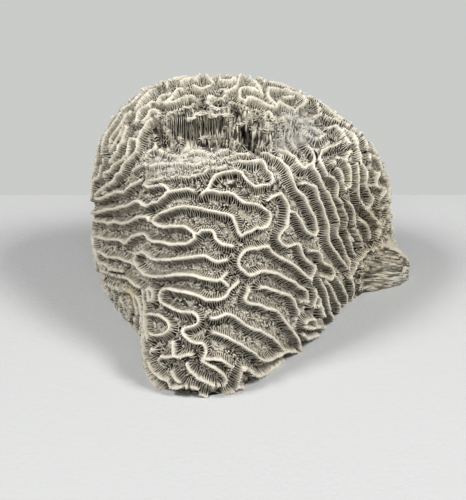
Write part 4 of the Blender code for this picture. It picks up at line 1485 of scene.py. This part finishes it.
class NodeBench:
    """Places and joins the nodes of one node tree."""

    PER_ROW = 8
    LEFT, STEP_ACROSS, STEP_DOWN = -900, 180, -220

    def __init__(self, tree: bpy.types.NodeTree) -> None:
        """Work on the given tree."""
        self.tree = tree
        self.placed = 0

    def add(self, kind: str, **settings: object) -> bpy.types.Node:
        """Add a node of a kind with the given settings."""
        node = self.tree.nodes.new(kind)
        row, column = divmod(self.placed, self.PER_ROW)
        node.location = (self.LEFT + self.STEP_ACROSS * column, self.STEP_DOWN * row)
        self.placed += 1
        for name, value in settings.items():
            setattr(node, name, value)
        return node

    def join(self, start: bpy.types.NodeSocket, end: bpy.types.NodeSocket) -> None:
        """Link one socket to another."""
        self.tree.links.new(start, end)

    def feed(self, socket: bpy.types.NodeSocket, value: object) -> None:
        """Link a socket to another socket, or set it to a plain value."""
        if isinstance(value, bpy.types.NodeSocket):
            self.join(value, socket)
        else:
            socket.default_value = value

    def math(self, operation: str, *values: object) -> bpy.types.NodeSocket:
        """Add a Math node and return its result."""
        node = self.add("ShaderNodeMath", operation=operation)
        for index, value in enumerate(values):
            self.feed(node.inputs[index], value)
        return node.outputs[0]

    def noise(self, place: bpy.types.NodeSocket, scale: float, detail: float) -> bpy.types.NodeSocket:
        """Add a noise pattern and return its value."""
        node = self.add("ShaderNodeTexNoise")
        self.join(place, node.inputs["Vector"])
        node.inputs["Scale"].default_value = scale
        node.inputs["Detail"].default_value = detail
        return node.outputs["Fac"]

    def ramp(self, value: bpy.types.NodeSocket, low: float, high: float) -> bpy.types.NodeSocket:
        """Return the value carried smoothly from 0 at low to 1 at high."""
        node = self.add("ShaderNodeMapRange", interpolation_type="SMOOTHSTEP")
        self.join(value, node.inputs["Value"])
        node.inputs["From Min"].default_value = low
        node.inputs["From Max"].default_value = high
        return node.outputs["Result"]

    def bump(self, height: bpy.types.NodeSocket, strength: float, distance: float,
             shader: bpy.types.Node) -> None:
        """Let a height stand out on a shader's surface."""
        node = self.add("ShaderNodeBump")
        node.inputs["Strength"].default_value = strength
        node.inputs["Distance"].default_value = distance
        self.join(height, node.inputs["Height"])
        self.join(node.outputs["Normal"], shader.inputs["Normal"])

    def mix(self, share: object, first: object, second: object, blend: str = "MIX") -> bpy.types.NodeSocket:
        """Mix two colours and return the result."""
        node = self.add("ShaderNodeMix", data_type="RGBA", blend_type=blend)
        self.feed(node.inputs["Factor"], share)
        self.feed(node.inputs[6], first)
        self.feed(node.inputs[7], second)
        return node.outputs[2]


def new_material(name: str, values: dict[str, object]) -> tuple[
        bpy.types.Material, NodeBench, bpy.types.Node]:
    """Start a material.

    Args:
        name: The material's name.
        values: The shader's plain values, by the name of their socket.

    Returns:
        The material, a bench to work on its nodes, and its shader.
    """
    material = bpy.data.materials.new(name)
    material.use_nodes = True
    shader = material.node_tree.nodes["Principled BSDF"]
    for socket, value in values.items():
        shader.inputs[socket].default_value = value
    return material, NodeBench(material.node_tree), shader


def new_group(name: str, inputs: dict[str, Socket], outputs: dict[str, Socket]) -> tuple[
        bpy.types.NodeTree, NodeBench, bpy.types.Node, bpy.types.Node]:
    """Start a shader node group.

    Args:
        name: The group's name.
        inputs: The kind of each input.
        outputs: The kind of each output.

    Returns:
        The group, a bench to work on it, and its input and output nodes.
    """
    tree = bpy.data.node_groups.new(name, "ShaderNodeTree")
    for label, kind in inputs.items():
        tree.interface.new_socket(name=label, in_out="INPUT", socket_type=kind.value)
    for label, kind in outputs.items():
        tree.interface.new_socket(name=label, in_out="OUTPUT", socket_type=kind.value)
    bench = NodeBench(tree)
    return tree, bench, bench.add("NodeGroupInput"), bench.add("NodeGroupOutput")


@dataclass(frozen=True)
class Weathering:
    """How the colour and the grain of coral stone vary."""

    speckle_scale: float = 1300.0
    speckle_detail: float = 3.0
    middle_band: tuple[float, float] = (0.02, 0.5)
    crest_band: tuple[float, float] = (0.45, 0.98)
    mottle_scale: float = 55.0
    mottle_detail: float = 4.0
    mottle_band: tuple[float, float] = (0.3, 0.75)
    mottle_share: float = 0.35
    mottle_colour: Colour = (0.80, 0.76, 0.70, 1)
    warm_share: float = 0.8
    warm_colour: Colour = (0.86, 0.76, 0.58, 1)
    cool_share: float = 0.55
    cool_colour: Colour = (0.50, 0.50, 0.48, 1)
    dust_scale: float = 2200.0
    dust_detail: float = 2.0
    dust_share: float = 0.7


def stone_tone_group(look: Weathering) -> bpy.types.NodeTree:
    """Build the group that colours coral stone by its relief value, which carries painted shade, and by its
    warmth.
    """
    tree, bench, given, result = new_group(
        "stone_tone",
        {"Relief": Socket.NUMBER, "Warmth": Socket.NUMBER, "Hollow": Socket.COLOUR, "Middle": Socket.COLOUR,
         "Crest": Socket.COLOUR, "Speckle": Socket.NUMBER, "Place": Socket.DIRECTION},
        {"Colour": Socket.COLOUR})
    place = given.outputs["Place"]
    fine = bench.math("SUBTRACT", bench.noise(place, look.speckle_scale, look.speckle_detail), 0.5)
    shift = bench.math("MULTIPLY", fine, given.outputs["Speckle"])
    relief = bench.math("ADD", given.outputs["Relief"], shift)
    lower = bench.mix(bench.ramp(relief, *look.middle_band), given.outputs["Hollow"], given.outputs["Middle"])
    stone = bench.mix(bench.ramp(relief, *look.crest_band), lower, given.outputs["Crest"])
    mottle = bench.ramp(bench.noise(place, look.mottle_scale, look.mottle_detail), *look.mottle_band)
    warm = bench.ramp(given.outputs["Warmth"], 0.0, 1.0)
    cool = bench.ramp(bench.math("MULTIPLY", given.outputs["Warmth"], -1.0), 0.0, 1.0)
    for place_share, share, colour, blend in (
            (mottle, look.mottle_share, look.mottle_colour, "MULTIPLY"),
            (warm, look.warm_share, look.warm_colour, "MULTIPLY"),
            (cool, look.cool_share, look.cool_colour, "MIX")):
        stone = bench.mix(bench.math("MULTIPLY", place_share, share), stone, colour, blend)
    bench.join(stone, result.inputs["Colour"])
    return tree


def stone_grain_group(look: Weathering) -> bpy.types.NodeTree:
    """Build the group that gives coral stone its fine uneven surface, as a height."""
    tree, bench, given, result = new_group(
        "stone_grain", {"Place": Socket.DIRECTION, "Size": Socket.NUMBER}, {"Height": Socket.NUMBER})
    cells = bench.add("ShaderNodeTexVoronoi")
    bench.join(given.outputs["Place"], cells.inputs["Vector"])
    bench.join(given.outputs["Size"], cells.inputs["Scale"])
    dust = bench.noise(given.outputs["Place"], look.dust_scale, look.dust_detail)
    height = bench.math("ADD", cells.outputs["Distance"], bench.math("MULTIPLY", dust, look.dust_share))
    bench.join(height, result.inputs["Height"])
    return tree


@dataclass
class CoralDress:
    """Makes the coral's materials from its shared groups."""

    tone: bpy.types.NodeTree
    grain: bpy.types.NodeTree
    shine: float = 0.25
    grain_depth: float = 0.0003

    def material(self, finish: CoralFinish) -> bpy.types.Material:
        """Make the material of one finish."""
        material, bench, shader = new_material(
            finish.name, {"Roughness": finish.roughness, "Specular IOR Level": self.shine})
        material.diffuse_color = finish.middle
        place = bench.add("ShaderNodeTexCoord").outputs["Object"]
        tone = bench.add("ShaderNodeGroup", node_tree=self.tone)
        for label in ("Relief", "Warmth"):
            value = bench.add("ShaderNodeAttribute", attribute_name=label.lower()).outputs["Fac"]
            bench.join(value, tone.inputs[label])
        bench.join(place, tone.inputs["Place"])
        for label in ("Hollow", "Middle", "Crest", "Speckle"):
            tone.inputs[label].default_value = getattr(finish, label.lower())
        bench.join(tone.outputs["Colour"], shader.inputs["Base Color"])
        grain = bench.add("ShaderNodeGroup", node_tree=self.grain)
        bench.join(place, grain.inputs["Place"])
        grain.inputs["Size"].default_value = finish.grain_size
        bench.bump(grain.outputs["Height"], finish.grain_height, self.grain_depth, shader)
        return material


@dataclass(frozen=True)
class Lamp:
    """A soft square lamp: its name, place, side and power."""

    name: str
    place: Point
    size: float
    power: float


@dataclass
class Studio:
    """The table, the wall behind it, the lights and the camera."""

    view: Viewpoint
    table_edge: float = 0.141
    table_size: float = 6.0
    wall_place: Point = (0.0, 1.60, -0.50)
    wall_size: float = 1.8
    table_colour: Colour = (0.455, 0.46, 0.455, 1)
    table_roughness: float = 0.85
    table_grain: float = 420.0
    table_grain_detail: float = 3.0
    table_grain_strength: float = 0.3
    table_grain_depth: float = 0.001
    wall_colour: Colour = (0.585, 0.60, 0.58, 1)
    lamps: tuple[Lamp, ...] = (
        Lamp("key", (0.69, -0.31, 0.91), 0.32, 13.8), Lamp("second", (-0.65, -0.25, 0.95), 0.32, 11.6),
        Lamp("fill", (-0.05, -1.00, 0.55), 0.70, 3.4),
    )
    aim: Point = (0.0, 0.0, 0.04)
    air_colour: Colour = (0.96, 0.98, 1.0, 1)
    air_strength: float = 0.05
    sensor: float = 36.0

    def build(self) -> None:
        """Set up everything that isn't part of the coral."""
        self.table_and_wall()
        bpy.context.scene.view_settings.view_transform = "Standard"
        for lamp in self.lamps:
            self.hang(lamp)
        world = bpy.data.worlds.new("studio_air")
        world.use_nodes = True
        world.node_tree.nodes["Background"].inputs["Color"].default_value = self.air_colour
        world.node_tree.nodes["Background"].inputs["Strength"].default_value = self.air_strength
        bpy.context.scene.world = world
        self.camera()

    def table_and_wall(self) -> None:
        """Model the pale table, which ends behind the coral, and the evenly lit wall beyond it."""
        middle = (0.0, self.table_edge - self.table_size / 2, 0.0)
        self.sheet("table", self.table_size, middle, 0.0, self.painted("table", self.table_colour))
        self.sheet("wall", self.wall_size, self.wall_place, 90.0, self.lit("wall", self.wall_colour))

    def sheet(self, name: str, size: float, place: Point, turn: float, dress: bpy.types.Material) -> None:
        """Model one flat square sheet of the studio.

        Args:
            name: The sheet's name.
            size: Its side, in metres.
            place: Its middle.
            turn: Degrees that it's turned about the X axis.
            dress: Its material.
        """
        select_nothing()
        bpy.ops.mesh.primitive_plane_add(size=size, location=place, rotation=(math.radians(turn), 0.0, 0.0))
        bpy.ops.object.transform_apply(location=True, rotation=True, scale=True)
        sheet = bpy.context.object
        sheet.name = name
        sheet.data.materials.append(dress)

    def lit(self, name: str, colour: Colour) -> bpy.types.Material:
        """Make the material of an evenly lit pale wall."""
        return new_material(name, {"Base Color": (0.0, 0.0, 0.0, 1.0), "Specular IOR Level": 0.0,
                                   "Emission Color": colour, "Emission Strength": 1.0})[0]

    def painted(self, name: str, colour: Colour) -> bpy.types.Material:
        """Make a plain matt material with a slight grain."""
        material, bench, shader = new_material(
            name, {"Base Color": colour, "Roughness": self.table_roughness})
        place = bench.add("ShaderNodeTexCoord").outputs["Object"]
        grain = bench.noise(place, self.table_grain, self.table_grain_detail)
        bench.bump(grain, self.table_grain_strength, self.table_grain_depth, shader)
        return material

    def hang(self, lamp: Lamp) -> None:
        """Add a lamp that faces the coral."""
        light = bpy.data.lights.new(lamp.name, "AREA")
        light.size = lamp.size
        light.energy = lamp.power
        holder = bpy.data.objects.new(lamp.name, light)
        holder.location = lamp.place
        holder.rotation_euler = (Vector(self.aim) - Vector(lamp.place)).to_track_quat("-Z", "Y").to_euler()
        bpy.context.scene.collection.objects.link(holder)

    def camera(self) -> None:
        """Place the camera where the picture was taken from."""
        lens = bpy.data.cameras.new("camera")
        lens.sensor_fit = "VERTICAL"
        lens.sensor_height = self.sensor
        lens.lens = self.sensor * self.view.focal_pixels / self.view.picture_height
        camera = bpy.data.objects.new("camera", lens)
        camera.location = placed(np.array([self.view.eye]))[0]
        camera.rotation_euler = (math.radians(90.0 - self.view.pitch), 0.0, 0.0)
        bpy.context.scene.collection.objects.link(camera)
        bpy.context.scene.camera = camera


def report(piece: bpy.types.Object) -> None:
    """Log a finished piece and its number of faces."""
    LOG.info("%s: %d faces", piece.name, len(piece.data.polygons))


def main() -> None:
    """Build the coral and its studio, and say what each piece stands for."""
    logging.basicConfig(level=logging.INFO, format="%(message)s")
    envelope = Envelope()
    view = Viewpoint()
    look = Weathering()
    dress = CoralDress(stone_tone_group(look), stone_grain_group(look))
    skin = Skin(envelope, RidgeField(envelope, view), Relief(), Tints())
    body = skin.build(dress.material(SKIN_FINISH))
    pieces = [body]
    plate_dress = dress.material(PLATE_FINISH)
    pieces += Plates(skin).build(plate_dress)
    pieces.append(Curtain(skin).build(plate_dress))
    pieces.append(Granules(skin).build(dress.material(GRANULE_FINISH)))
    for piece in pieces:
        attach(piece, "root")
        report(piece)
    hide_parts("coral")
    Studio(view).build()
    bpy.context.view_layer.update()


if __name__ == "__main__":
    main()
